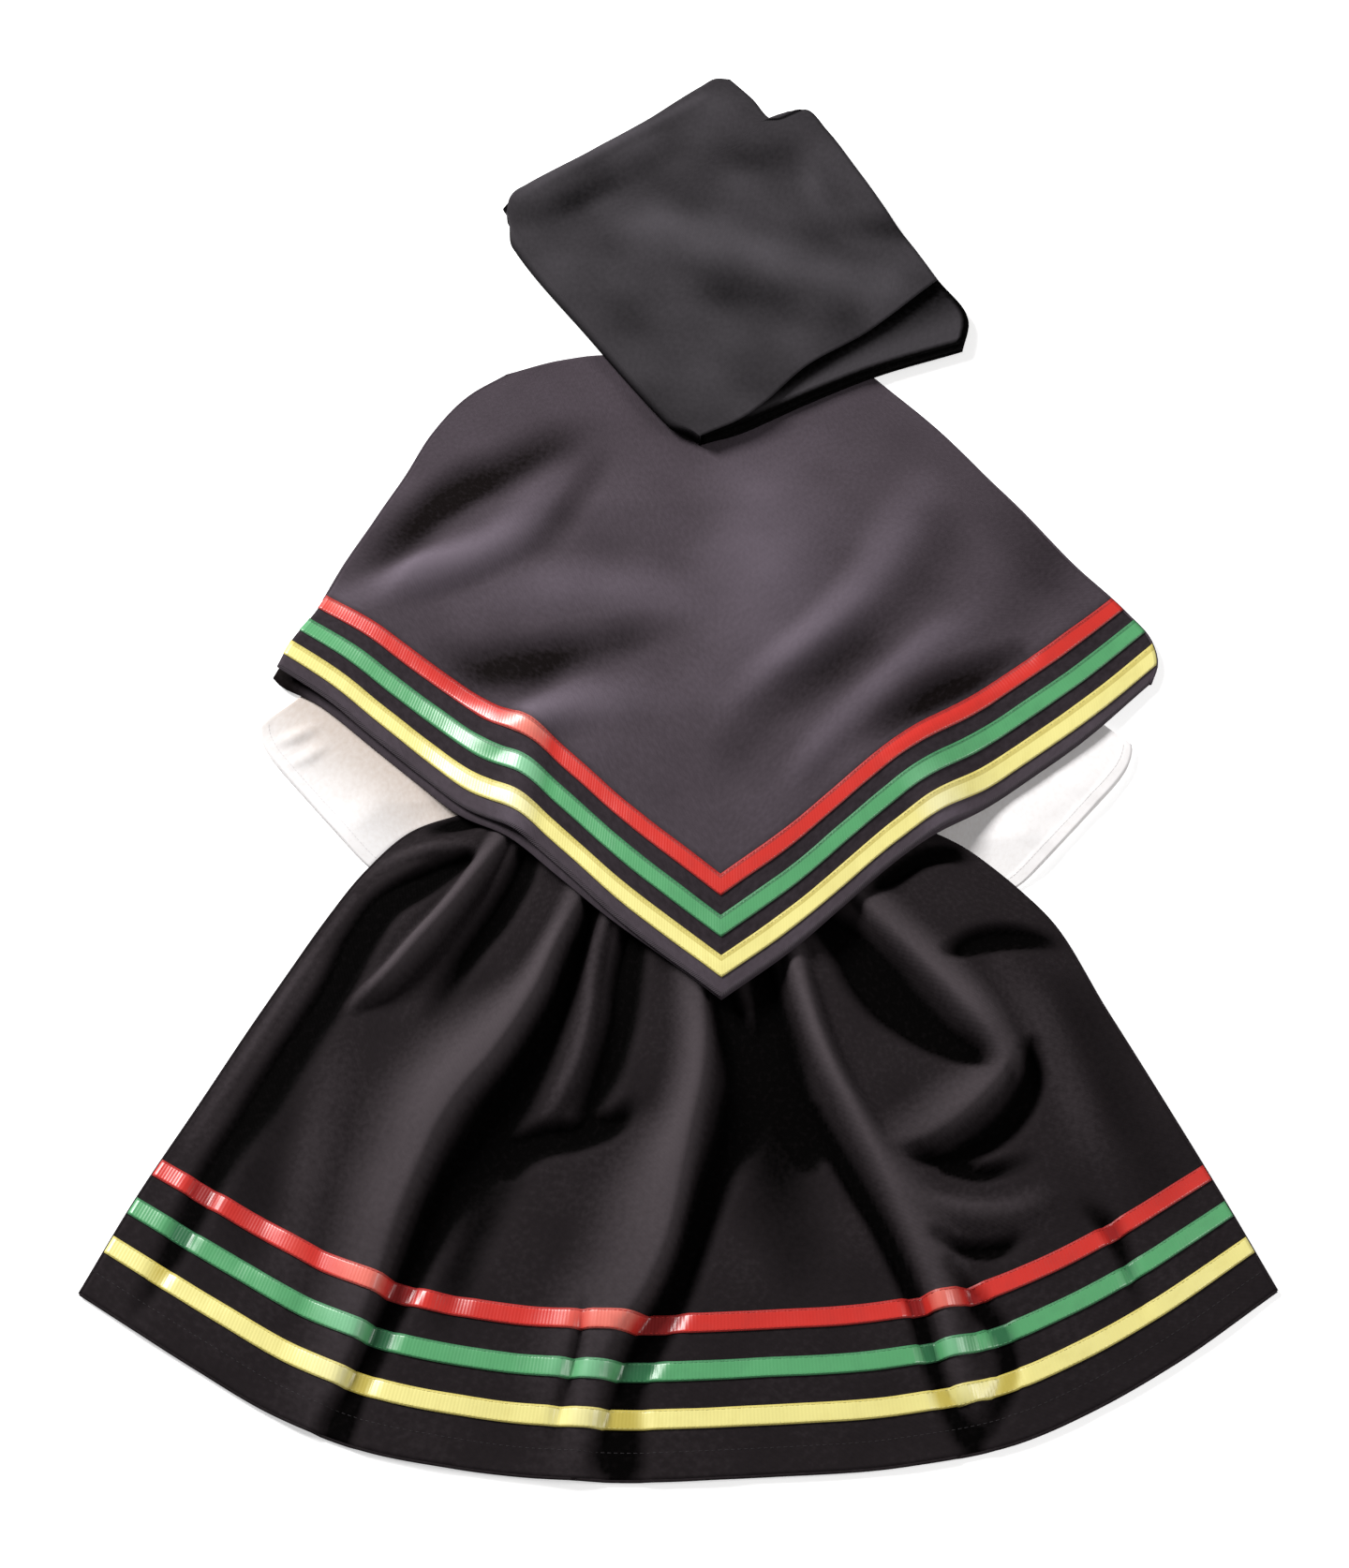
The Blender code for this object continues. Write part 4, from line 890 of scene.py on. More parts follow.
# %% [markdown]
# ## Laying a cloth
#
# Each cloth starts as a flat grid primitive. Its points are then laid on the surface that the garment
# takes, its UV map is measured in metres along the threads, and a Solidify modifier gives it its wall.
# A simulation could drop the cloth instead, but it would not lay the folds where the stylist did.

# %% Laying and fitting
def points_of(piece):
    flat = np.empty(len(piece.data.vertices) * 3)
    piece.data.vertices.foreach_get("co", flat)
    return flat.reshape(-1, 3)


def set_points(piece, points):
    piece.data.vertices.foreach_set("co", (np.array(points) * MM).ravel())
    piece.data.update()


def blurred(grid, reach):
    """The grid's values averaged over a square that reaches this many cells each way."""
    for axis in (0, 1):
        padding = [(reach + 1, reach) if a == axis else (0, 0) for a in (0, 1)]
        total = np.cumsum(np.pad(grid, padding, mode="edge"), axis=axis)
        count = 2 * reach + 1
        low = np.take(total, range(grid.shape[axis]), axis=axis)
        high = np.take(total, range(count, count + grid.shape[axis]), axis=axis)
        grid = (high - low) / count
    return grid


PAINTED_SHADING_REACH = 9
PAINTED_SHADING_SPAN = 9.0


def painted_shading_of(points, columns, rows):
    """Painted shading, from 0 (painted shade) in a hollow to 1 (painted light) on a crest, by how far a
    point lies from the mean height around it.
    """
    z = points[:, 2].reshape(rows + 1, columns + 1)
    mean = blurred(blurred(z, PAINTED_SHADING_REACH), PAINTED_SHADING_REACH)
    return np.clip(0.5 + (z - mean) / PAINTED_SHADING_SPAN, 0, 1).ravel()


def finish_piece(piece, material, nodes):
    piece.data.shade_smooth()
    piece.data.materials.clear()
    piece.data.materials.append(MATERIALS[material])
    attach(piece, "root")
    if nodes:
        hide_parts(*nodes)
    return piece


def apply_modifiers(piece):
    bpy.ops.object.select_all(action="DESELECT")
    piece.select_set(True)
    bpy.context.view_layer.objects.active = piece
    for modifier in list(piece.modifiers):
        bpy.ops.object.modifier_apply(modifier=modifier.name)


def area_of(piece):
    """Half of the area of a cloth with its wall, in square metres."""
    return sum(face.area for face in piece.data.polygons) / 2


print("fitting helpers ready")

# %% Cutting, mapping and laying
def cut_cloth(name, columns, rows):
    """A flat grid of threads, with the share across and the share up of each of its points."""
    bpy.ops.object.select_all(action="DESELECT")
    bpy.ops.mesh.primitive_grid_add(x_subdivisions=columns, y_subdivisions=rows, size=1)
    piece = bpy.context.object
    piece.name = piece.data.name = name
    flat = points_of(piece)
    u = np.round((flat[:, 0] + 0.5) * columns) / columns
    v = np.round((flat[:, 1] + 0.5) * rows) / rows
    return piece, u, v


def map_threads(piece, u, v, points, columns, rows):
    """The UV map, in metres along the threads. Gives back the cloth's width and length."""
    grid = points.reshape(rows + 1, columns + 1, 3)
    wide = np.linalg.norm(np.diff(grid, axis=1), axis=2).sum(axis=1).mean() * MM
    tall = np.linalg.norm(np.diff(grid, axis=0), axis=2).sum(axis=0).mean() * MM
    layer = piece.data.uv_layers.active
    layer.name = "cloth"
    corner = np.empty(len(piece.data.loops), dtype=int)
    piece.data.loops.foreach_get("vertex_index", corner)
    layer.data.foreach_set("uv", np.column_stack([u[corner] * wide, v[corner] * tall]).ravel())
    return wide, tall


# The point attribute that carries painted light and painted shade into the materials.
def mark_painted_shading(piece, values):
    painted_shading = piece.data.attributes.new("painted_shading", "FLOAT", "POINT")
    painted_shading.data.foreach_set("value", values.astype(np.float32))


def give_wall(piece, wall, outwards):
    solid = piece.modifiers.new("wall", "SOLIDIFY")
    solid.thickness = wall * MM
    solid.offset = outwards
    apply_modifiers(piece)


def lay(name, columns, rows, place, wall, outwards, material, nodes=(), tone=None):
    """A cloth laid on the points that place(u, v) gives, in millimetres."""
    piece, u, v = cut_cloth(name, columns, rows)
    points = place(u, v)
    set_points(piece, points)
    wide, tall = map_threads(piece, u, v, points, columns, rows)
    mark_painted_shading(piece, tone(u, v) if tone else painted_shading_of(points, columns, rows))
    give_wall(piece, wall, outwards)
    finish_piece(piece, material, nodes)
    print(f"{name}: {wide * 1000:.0f} x {tall * 1000:.0f} mm laid, {area_of(piece):.3f} square metres")
    return piece


print("laying helpers ready")

# %% [markdown]
# ## Stitches
#
# A line of sewing is one short stitch, repeated. It could be drawn as a dashed line in a texture, but
# real stitches stand up from the cloth and catch the light. One stitch is a bevelled cylinder; an Array
# modifier repeats it in a row, and a Curve modifier bends the row to the seam.

# %% Sewing a row of stitches
STITCH_SIDES, STITCH_BEVEL = 5, 0.25
Stitch = namedtuple("Stitch", "pitch long thick slant", defaults=[0.0])


def line_curve(name, points):
    """A curve through these points, in millimetres."""
    data = bpy.data.curves.new(name, "CURVE")
    data.dimensions = "3D"
    data.twist_mode = "Z_UP"
    spline = data.splines.new("POLY")
    spline.points.add(len(points) - 1)
    spline.points.foreach_set("co", np.column_stack([np.array(points) * MM, np.ones(len(points))]).ravel())
    curve = bpy.data.objects.new(name, data)
    bpy.context.scene.collection.objects.link(curve)
    return curve


def one_stitch(name, kind):
    """A short strand along X, with its edges bevelled."""
    bpy.ops.object.select_all(action="DESELECT")
    bpy.ops.mesh.primitive_cylinder_add(
        vertices=STITCH_SIDES, radius=kind.thick / 2 * MM, depth=kind.long * MM,
        rotation=(0, math.pi / 2, kind.slant))
    stitch = bpy.context.object
    stitch.name = stitch.data.name = name
    bpy.ops.object.transform_apply(location=True, rotation=True, scale=True)
    bpy.ops.object.mode_set(mode="EDIT")
    bpy.ops.mesh.select_all(action="SELECT")
    bpy.ops.mesh.bevel(offset=kind.thick * STITCH_BEVEL * MM, segments=1, affect="EDGES", clamp_overlap=True)
    bpy.ops.object.mode_set(mode="OBJECT")
    return stitch


def sew(name, points, kind, material):
    """One stitch, repeated along a seam."""
    stitch = one_stitch(name, kind)
    curve = line_curve(name + "_line", points)
    seam_long = np.linalg.norm(np.diff(np.array(points), axis=0), axis=1).sum()
    array = stitch.modifiers.new("repeat", "ARRAY")
    array.count = int(seam_long / kind.pitch)
    array.use_relative_offset = False
    array.use_constant_offset = True
    array.constant_offset_displace = (kind.pitch * MM, 0, 0)
    bend = stitch.modifiers.new("follow", "CURVE")
    bend.object = curve
    bend.deform_axis = "POS_X"
    apply_modifiers(stitch)
    bpy.data.objects.remove(curve)
    finish_piece(stitch, material, ())
    print(f"{name}: {int(seam_long / kind.pitch)} stitches")
    return stitch


def joined(name, pieces):
    """Several small pieces of one material as one."""
    bpy.ops.object.select_all(action="DESELECT")
    for piece in pieces:
        piece.select_set(True)
    bpy.context.view_layer.objects.active = pieces[0]
    bpy.ops.object.join()
    pieces[0].name = pieces[0].data.name = name
    return pieces[0]


print("sewing helpers ready")

# %% [markdown]
# ## Blouse
#
# Only the two sleeves of the blouse show, but its body holds up everything above it. Back and front are
# flat panels with a scooped neck. Each sleeve is one piece of cloth rolled to a tube and sewn along its
# lower edge, so it is made the same way: a flat grid whose two long edges are brought together and merged.

# %% The blouse's body
BODY_COLUMNS, BODY_ROWS, BODY_SWELL = 60, 72, 0.12


def blouse_panel(level):
    def place(u, v):
        x = BODY_MIDDLE + (2 * u - 1) * BODY_HALF
        away = np.abs(x - BODY_MIDDLE)
        slope = between(SHOULDER_IN, SHOULDER_OUT, (away - NECK_HALF) / (BODY_HALF - NECK_HALF))
        scoop = SHOULDER_IN - NECK_SCOOP * np.cos(np.pi / 2 * np.clip(away / NECK_HALF, 0, 1)) ** 2
        y = between(BODY_HEM, np.where(away > NECK_HALF, slope, scoop), v)
        return np.column_stack([x, y, level + BODY_SWELL * np.maximum(swell(x, y), 0)])

    return place


blouse_back = lay("blouse_back_panel", BODY_COLUMNS, BODY_ROWS, blouse_panel(0.0), LINEN, 1,
                  "blouse_cotton", ["blouse_back"])
blouse_front = lay("blouse_front_panel", BODY_COLUMNS, BODY_ROWS, blouse_panel(LINEN + GAP), LINEN, 1,
                   "blouse_cotton", ["blouse_front"])

# %% The shape of a sleeve
Sleeve = namedtuple("Sleeve", "corner_x corner_y along_x along_y wide folds guard")
FLAT_SHARE = 0.93
CUFF_UPPER, CUFF_UPPER_POWER = 12.0, 7
CUFF_LOWER, CUFF_LOWER_POWER = 14.0, 8
CUFF_DEEP, CUFF_STEP, CUFF_STEP_LONG, CUFF_FREE = 9.0, 0.45, 1.2, 6
PUFF, PUFF_START = 3.2, 34.0
SLEEVES = {
    "left": Sleeve(-311, -31, 0.753, 0.658, 158, [
        [Station(-258, -22, 8, 8, 0.8), Station(-276, -34, 8, 9, 2.4), Station(-292, -40, 6, 6, 0)],
        [Station(-250, -38, 6, 7, 0), Station(-266, -50, 8, 8, 1.6), Station(-282, -58, 6, 6, 0)],
        [Station(-200, -72, 16, 16, 0), Station(-222, -92, 18, 18, 1.0), Station(-238, -108, 14, 14, 0.2)],
    ], (Point(-189, -110), Point(-244, -174))),
    "right": Sleeve(335, -47, -0.737, 0.676, 158, [
        [Station(262, -58, 8, 9, 0), Station(284, -72, 9, 10, 1.6), Station(302, -86, 7, 7, 0.2)],
        [Station(226, -92, 9, 9, 0), Station(248, -112, 10, 11, 1.6), Station(264, -124, 8, 8, 0.2)],
    ], (Point(257, -174), Point(201, -122))),
}


def sleeve_section(u, sleeve):
    """Across and height of a flattened tube, with the top side first."""
    half_high = SLEEVE_HIGH / 2
    straight = sleeve.wide / 2 - half_high
    on_top_side = u < 0.5
    side = np.where(on_top_side, -1.0, 1.0)
    step = np.where(on_top_side, u * 2, u * 2 - 1)
    bend = np.clip((step - FLAT_SHARE) / (1 - FLAT_SHARE), 0, 1) * math.pi
    spread = between(-1.0, 1.0, np.clip(step / FLAT_SHARE, 0, 1))
    across = side * (spread * straight + half_high * np.sin(bend))
    return across, half_high - side * half_high * np.cos(bend)


def sleeve_points(sleeve, body_edge):
    def place(u, v):
        across, z = sleeve_section(u, sleeve)
        axis = np.array([sleeve.along_x, sleeve.along_y])
        down = np.array([sleeve.along_y, -sleeve.along_x]) * np.sign(sleeve.along_x)
        middle = np.array([sleeve.corner_x, sleeve.corner_y]) + down * sleeve.wide / 2
        off_middle = np.abs(across / (sleeve.wide / 2))
        upper_corner = CUFF_UPPER * off_middle**CUFF_UPPER_POWER
        lower_corner = CUFF_LOWER * off_middle**CUFF_LOWER_POWER
        round_off = np.where(across < 0, upper_corner, lower_corner)
        start = middle + across[:, None] * down + round_off[:, None] * axis
        reach = (body_edge - start[:, 0]) / sleeve.along_x
        plan = start + (v * reach)[:, None] * axis
        x, y = plan.T
        free = np.minimum(below_poncho_hem(x, y), beyond(x, y, *sleeve.guard))
        upper = np.clip(z / SLEEVE_HIGH * 2 - 1, 0, 1)
        hem = CUFF_STEP * (1 - smooth((v * reach - CUFF_DEEP) / CUFF_STEP_LONG))
        puff = smooth(free / PUFF_START) * (PUFF + folds_together(sleeve.folds, x, y) + swell(x, y))
        return np.column_stack([plan, z + upper * (puff + hem * smooth(free / CUFF_FREE))])

    return place


print("sleeve shape ready")

# %% Rolling and sewing a tube
MERGE_WITHIN = 0.001


def lay_tube(name, columns, rows, place, wall, material, nodes, tone=None):
    """A cloth rolled to a tube: its two long edges meet and are merged before it gets its wall."""
    piece, u, v = cut_cloth(name, columns, rows)
    points = place(u % 1.0, v)
    set_points(piece, points)
    wide, tall = map_threads(piece, u, v, points, columns, rows)
    mark_painted_shading(piece, tone(u % 1.0, v) if tone else np.full(len(points), PAINTED_SHADING_MIDDLE))
    bpy.ops.object.mode_set(mode="EDIT")
    bpy.ops.mesh.select_all(action="SELECT")
    bpy.ops.mesh.remove_doubles(threshold=MERGE_WITHIN * MM)
    bpy.ops.mesh.normals_make_consistent(inside=False)
    bpy.ops.object.mode_set(mode="OBJECT")
    top = max(piece.data.polygons, key=lambda face: face.center.z)
    if top.normal.z < 0:
        piece.data.flip_normals()
    give_wall(piece, wall, -1)
    finish_piece(piece, material, nodes)
    area = area_of(piece)
    print(f"{name}: {wide * 1000:.0f} mm around, {tall * 1000:.0f} mm long, {area:.3f} square metres")
    return piece


print("tube helper ready")

# %% The two sleeves
AROUND, ALONG = 170, 84
SLEEVE_WALL = LINEN * 0.8
SHADE_REACH, SHADE_SHARE, SHADE_SIDE = 66.0, 0.46, Ramp(-290, 480)


def sleeve_tone(place):
    """Painted warm shade on the cotton where the darker garments lie close to it."""
    def tone(u, v):
        x, y = place(u, v)[:, :2].T
        near = 1 - smooth(below_poncho_hem(x, y) / SHADE_REACH)
        return PAINTED_SHADING_MIDDLE - SHADE_SHARE * near * climb(-x, SHADE_SIDE)

    return tone


ARMHOLE = BODY_HALF + 1.0
BODY_EDGES = {"left": BODY_MIDDLE - ARMHOLE, "right": BODY_MIDDLE + ARMHOLE}
for side, sleeve in SLEEVES.items():
    place = sleeve_points(sleeve, BODY_EDGES[side])
    lay_tube("blouse_sleeve_" + side + "_tube", AROUND, ALONG, place, SLEEVE_WALL,
                             "blouse_cotton", ["blouse_sleeve_" + side], sleeve_tone(place))

# %% Stitches of the cuffs
CUFF_STITCH = Stitch(pitch=3.0, long=2.2, thick=0.4)
CUFF_SEAM_FROM, CUFF_SEAM_TO, CUFF_SEAM_POINTS = 0.02, 0.46, 160
CUFF_SEAM_IN, CUFF_SEAM_LIFT = 1.2, 0.05
for side, sleeve in SLEEVES.items():
    place = sleeve_points(sleeve, BODY_EDGES[side])
    u = np.linspace(CUFF_SEAM_FROM, CUFF_SEAM_TO, CUFF_SEAM_POINTS)
    start, end = place(u, np.zeros_like(u)), place(u, np.ones_like(u))
    reach = np.linalg.norm((end - start)[:, :2], axis=1)
    seam = place(u, (CUFF_DEEP - CUFF_SEAM_IN) / reach)
    seam[:, 2] += CUFF_SEAM_LIFT
    sew("blouse_cuff_stitches_" + side, seam, CUFF_STITCH, "thread_white")

# %% [markdown]
# ## Skirt
#
# The skirt is two panels gathered to an elastic waistband that the poncho hides. The front holds the
# folds. The back lies flat on the floor and over the blouse's hem. Where the two meet at the sides, a
# seam is rolled between them, and the hem is turned in, which makes its edge a little thicker.

# %% The skirt's panels
SKIRT_COLUMNS, SKIRT_ROWS = 250, 160
SKIRT_BACK_COLUMNS, SKIRT_BACK_ROWS = 110, 80


def skirt_back_points(u, v):
    plan = skirt_plan(u, v * SKIRT_LONG)
    return np.column_stack([plan, skirt_rest(*plan.T)])


def skirt_front_points(u, v):
    return skirt_front(u, v * SKIRT_LONG)


def skirt_front_tone(u, v):
    return skirt_tone(u, v * SKIRT_LONG)


skirt_back = lay("skirt_back_panel", SKIRT_BACK_COLUMNS, SKIRT_BACK_ROWS, skirt_back_points, CLOTH, 1,
                 "skirt_twill", ["skirt_back"])
skirt_front_cloth = lay("skirt_front_panel", SKIRT_COLUMNS, SKIRT_ROWS, skirt_front_points, CLOTH, 1,
                        "skirt_twill", ["skirt_front"], skirt_front_tone)

# %% Rolled seams and turned edges
Roll = namedtuple("Roll", "half_wide half_high")
ROLL_SIDES, ROLL_WALL = 10, 0.3
SIDE_ROLL, HEM_ROLL = Roll(1.5, 1.45), Roll(1.1, 0.85)


def lay_roll(name, line, roll, material):
    """A thin roll of cloth that follows a line of points, in millimetres."""
    line = np.array(line)
    way = np.gradient(line[:, :2], axis=0)
    out = np.column_stack([way[:, 1], -way[:, 0]]) / np.hypot(*way.T)[:, None]

    def place(u, v):
        i = np.round(v * (len(line) - 1)).astype(int)
        turn = 2 * math.pi * u
        plan = line[i, :2] + out[i] * (roll.half_wide * np.cos(turn))[:, None]
        return np.column_stack([plan, line[i, 2] + roll.half_high * np.sin(turn)])

    return lay_tube(name, ROLL_SIDES, len(line) - 1, place, ROLL_WALL, material, ())


def where_sides_meet(plan, rest):
    """Points at the height where a garment's back and front meet."""
    return np.column_stack([plan, rest(*plan.T) + CLOTH + GAP])


print("roll helper ready")

# %% Seams and hem of the skirt
SKIRT_SIDE_POINTS, SKIRT_HEM_POINTS = 140, 260
HEM_STITCH = Stitch(pitch=4.2, long=2.4, thick=0.4)
HEM_STITCH_AT, HEM_STITCH_LIFT = 17.0, 0.08


def skirt_side(u):
    share = np.linspace(0, 1, SKIRT_SIDE_POINTS)
    return where_sides_meet(skirt_plan(np.full_like(share, u), share * SKIRT_LONG), skirt_rest)


share = np.linspace(0, 1, SKIRT_HEM_POINTS)
hem_line = skirt_front(share, np.zeros_like(share)) + np.array([0, 0, CLOTH / 2])
skirt_seams = [
    lay_roll("skirt_side_seam_left", skirt_side(0.0), SIDE_ROLL, "skirt_twill"),
    lay_roll("skirt_side_seam_right", skirt_side(1.0), SIDE_ROLL, "skirt_twill"),
    lay_roll("skirt_hem_edge", hem_line, HEM_ROLL, "skirt_twill"),
]
seam = on_top(skirt_front, share, np.full_like(share, HEM_STITCH_AT), CLOTH + HEM_STITCH_LIFT)
skirt_seams.append(sew("skirt_hem_stitches", seam, HEM_STITCH, "thread_black"))

# %% The waistband
BAND_COLUMNS, BAND_ROWS = 180, 14
BAND_TALL, BAND_HIGH, BAND_SQUARE, BAND_FROM_EDGE = 28.0, 8.0, 0.6, 1.5
BAND_RIPPLES, BAND_RIPPLE = 46, 0.35


def waistband_points(u, v):
    """A flattened ring, rippled by the elastic that it holds."""
    left, right = SKIRT_WAIST[0], SKIRT_WAIST[-1]
    turn = 2 * math.pi * u
    half_wide = (right.x - left.x) / 2
    across = half_wide * np.sign(np.cos(turn)) * np.abs(np.cos(turn)) ** BAND_SQUARE
    share = (across + half_wide) / (2 * half_wide)
    y = between(left.y, right.y, share) + BAND_FROM_EDGE + BAND_TALL * v
    ripple = 1 - BAND_RIPPLE * 0.5 * (1 + np.sin(BAND_RIPPLES * math.pi * share)) * np.sin(math.pi * v)
    lift = np.sign(np.sin(turn)) * np.abs(np.sin(turn)) ** BAND_SQUARE * ripple
    z = BLOUSE_HIGH + GAP + BAND_HIGH / 2 * (1 + lift)
    return np.column_stack([(left.x + right.x) / 2 + across, y, z])


skirt_band = lay_tube("skirt_waistband_casing", BAND_COLUMNS, BAND_ROWS, waistband_points, CLOTH,
                      "skirt_twill", ["skirt_waistband"])

# %% [markdown]
# ## Ribbons
#
# The skirt and the poncho each carry three satin ribbons, sewn flat on the front at even distances from
# the hem. They could be painted on the cloth, but a real ribbon stands proud by its own thickness,
# puckers a little along its two rows of stitches and takes the light in its own way.

# %% Laying and sewing a ribbon
RIBBON_ROWS = 6
PUCKER, PUCKER_EVERY = 0.10, 11.0
PUCKER_UNEVEN, PUCKER_UNEVEN_EVERY = 2.1, 37
RIBBON_STITCH = Stitch(pitch=3.4, long=2.3, thick=0.42)
STITCH_INSET, STITCH_LIFT = 0.09, 0.05
RIBBON_SEAM_FROM, RIBBON_SEAM_TO, RIBBON_SEAM_POINTS = 0.004, 0.996, 300


def lay_ribbon(garment, surface, tone, colour, middle, columns, seam_long):
    """A ribbon whose middle runs at this distance from the hem, and the stitches along its two edges."""
    def distance_at(v):
        return middle + (v - 0.5) * RIBBON_WIDE

    def place(u, v):
        run = u * seam_long
        uneven = PUCKER_UNEVEN * np.sin(run / PUCKER_UNEVEN_EVERY)
        near_stitches = 1 - v * (1 - v) * 2
        pucker = PUCKER * np.sin(2 * math.pi * run / PUCKER_EVERY + uneven) * near_stitches
        return on_top(surface, u, distance_at(v), CLOTH + SEWN + PUCKER + pucker)

    ribbon = lay(f"{garment}_ribbon_{colour}_satin", columns, RIBBON_ROWS, place, RIBBON_THICK, 1,
                 "satin_" + colour, [f"{garment}_ribbon_{colour}"],
                 lambda u, v: tone(u, distance_at(v)))
    rows = []
    u = np.linspace(RIBBON_SEAM_FROM, RIBBON_SEAM_TO, RIBBON_SEAM_POINTS)
    for number, v in enumerate((STITCH_INSET, 1 - STITCH_INSET)):
        distance = np.full_like(u, distance_at(v))
        seam = on_top(surface, u, distance, CLOTH + SEWN + PUCKER + RIBBON_THICK + STITCH_LIFT)
        rows.append(sew(f"row_{number}", seam, RIBBON_STITCH, "thread_" + colour))
    return [ribbon, joined(f"{garment}_ribbon_{colour}_stitches", rows)]


print("ribbon helper ready")

# %% The skirt's ribbons
skirt_ribbons = []
for colour, middle in SKIRT_RIBBONS.items():
    skirt_ribbons += lay_ribbon("skirt", skirt_front, skirt_tone, colour, middle, SKIRT_COLUMNS,
                                length_of(SKIRT_HEM))

# %% [markdown]
# ## Poncho
#
# The poncho is a folded shape with a pointed hem, open at the bottom and closed at its sides and along
# its shoulders. Its back hangs a little lower than its front on the left arm, so a strip of it shows
# there. The hem isn't turned: an overlock machine bound it with slanting thread.

# %% The poncho's panels
PONCHO_COLUMNS, PONCHO_ROWS = 220, 140
PONCHO_BACK_COLUMNS, PONCHO_BACK_ROWS = 120, 90
BACK_DROP, BACK_DROP_WAY = 5.0, (-0.615, -0.788)
BACK_DROP_FROM, BACK_DROP_TO = Ramp(-0.03, 0.05), Ramp(0.3, 0.15)
BACK_DROP_REACH = 14.0
CORNER_PAINTED_SHADE, MOUTH_DROP, MOUTH_DROP_SHARE = Ramp(0.02, 0.03), 0.9, 0.05


def poncho_back_points(u, v):
    distance = v * PONCHO_TALL
    plan = poncho_plan(u, distance)
    near_hem = 1 - smooth(distance / BACK_DROP_REACH)
    on_left_arm = climb(u, BACK_DROP_FROM) * (1 - climb(u, BACK_DROP_TO)) * near_hem
    drop = BACK_DROP * on_left_arm * (1 + MOUTH_DROP * (1 - smooth(u / MOUTH_DROP_SHARE)))
    plan = plan + drop[:, None] * np.array(BACK_DROP_WAY)
    return np.column_stack([plan, poncho_rest(*plan.T)])


def poncho_front_points(u, v):
    return poncho_front(u, v * PONCHO_TALL)


def poncho_front_tone(u, v):
    """Painted shade darkens the cloth between the ribbons."""
    distance = v * PONCHO_TALL
    between_ribbons = climb(distance, BAND_PAINTED_SHADE_FROM) * (1 - climb(distance, BAND_PAINTED_SHADE_TO))
    return poncho_tone(u, distance) * (1 - BAND_PAINTED_SHADE * between_ribbons)


def poncho_back_tone(u, v):
    """Painted shade on the inside of the back, where the open corner lets one look in."""
    return PAINTED_SHADING_MIDDLE * climb(u, CORNER_PAINTED_SHADE)


poncho_back = lay("poncho_back_panel", PONCHO_BACK_COLUMNS, PONCHO_BACK_ROWS, poncho_back_points, CLOTH, 1,
                  "poncho_twill", ["poncho_back"], poncho_back_tone)
poncho_front_cloth = lay("poncho_front_panel", PONCHO_COLUMNS, PONCHO_ROWS, poncho_front_points, CLOTH, 1,
                         "poncho_twill", ["poncho_front"], poncho_front_tone)

# %% The poncho's ribbons
poncho_ribbons = []
for colour, middle in PONCHO_RIBBONS.items():
    poncho_ribbons += lay_ribbon("poncho", poncho_front, poncho_tone, colour, middle, PONCHO_COLUMNS,
                                 length_of(PONCHO_HEM_LEFT) + length_of(PONCHO_HEM_RIGHT))

# %% The poncho's edges
PONCHO_SIDE_POINTS, SHOULDER_POINTS, OPEN_CORNER_POINTS = 120, 160, 18
OVERLOCK = Stitch(pitch=1.5, long=3.6, thick=0.45, slant=math.radians(62))
OVERLOCK_FROM, OVERLOCK_TO, OVERLOCK_POINTS = 0.002, 0.998, 420
OVERLOCK_AT, OVERLOCK_LIFT = 1.6, 0.05


def poncho_side(u):
    share = np.linspace(0, 1, PONCHO_SIDE_POINTS)
    return where_sides_meet(poncho_plan(np.full_like(share, u), share * PONCHO_TALL), poncho_rest)


def poncho_shoulder():
    u = np.linspace(0, 1, SHOULDER_POINTS)
    return where_sides_meet(poncho_plan(u, np.full_like(u, PONCHO_TALL)), poncho_rest)


left_side = poncho_side(0.0)[OPEN_CORNER_POINTS:]
poncho_seams = [
    lay_roll("poncho_side_seam_right", poncho_side(1.0), SIDE_ROLL, "poncho_twill"),
    lay_roll("poncho_side_seam_left", left_side, SIDE_ROLL, "poncho_twill"),
    lay_roll("poncho_shoulder_seam", poncho_shoulder(), SIDE_ROLL, "poncho_twill"),
]
u = np.linspace(OVERLOCK_FROM, OVERLOCK_TO, OVERLOCK_POINTS)
edge = on_top(poncho_front, u, np.full_like(u, OVERLOCK_AT), CLOTH + OVERLOCK_LIFT)
poncho_seams.append(sew("poncho_hem_overlock", edge, OVERLOCK, "thread_charcoal"))

# %% [markdown]
# ## Head cloth
#
# The head cloth is one big square, folded again and again to a packet. Its outer leaf wraps round the
# packet's left side. Inside lie more leaves, each folded double, which show as rounded edges at the
# right and lower sides. A real packet could be folded by simulation from one sheet, but its leaves would
# crush into each other, so each leaf is laid at its own height.

# %% The outer leaf
LEAF_COLUMNS, LEAF_ROWS, LEAF_SHARE = 120, 150, 0.42
FOLD_ZONE, LOOSE_ZONE, TOP_LOOSE = 0.2, 0.3, 0.6
# Fold heights for full painted shade, none and full painted light on the head cloth, and where the painted
# shade round the fold and below ends.
PILE_TONES = (-3.2, 0.0, 3.6)
PAINTED_SHADE_BELOW = Ramp(0.49, 0.07)
FOLD_CORNER, CORNER_PULL, CORNER_FLAT = 0.1, 0.4, 1.0


def leaf_plan(u, w, top, free, low):
    return patch(PILE_FOLD, free, top, low, u, w, w, w)


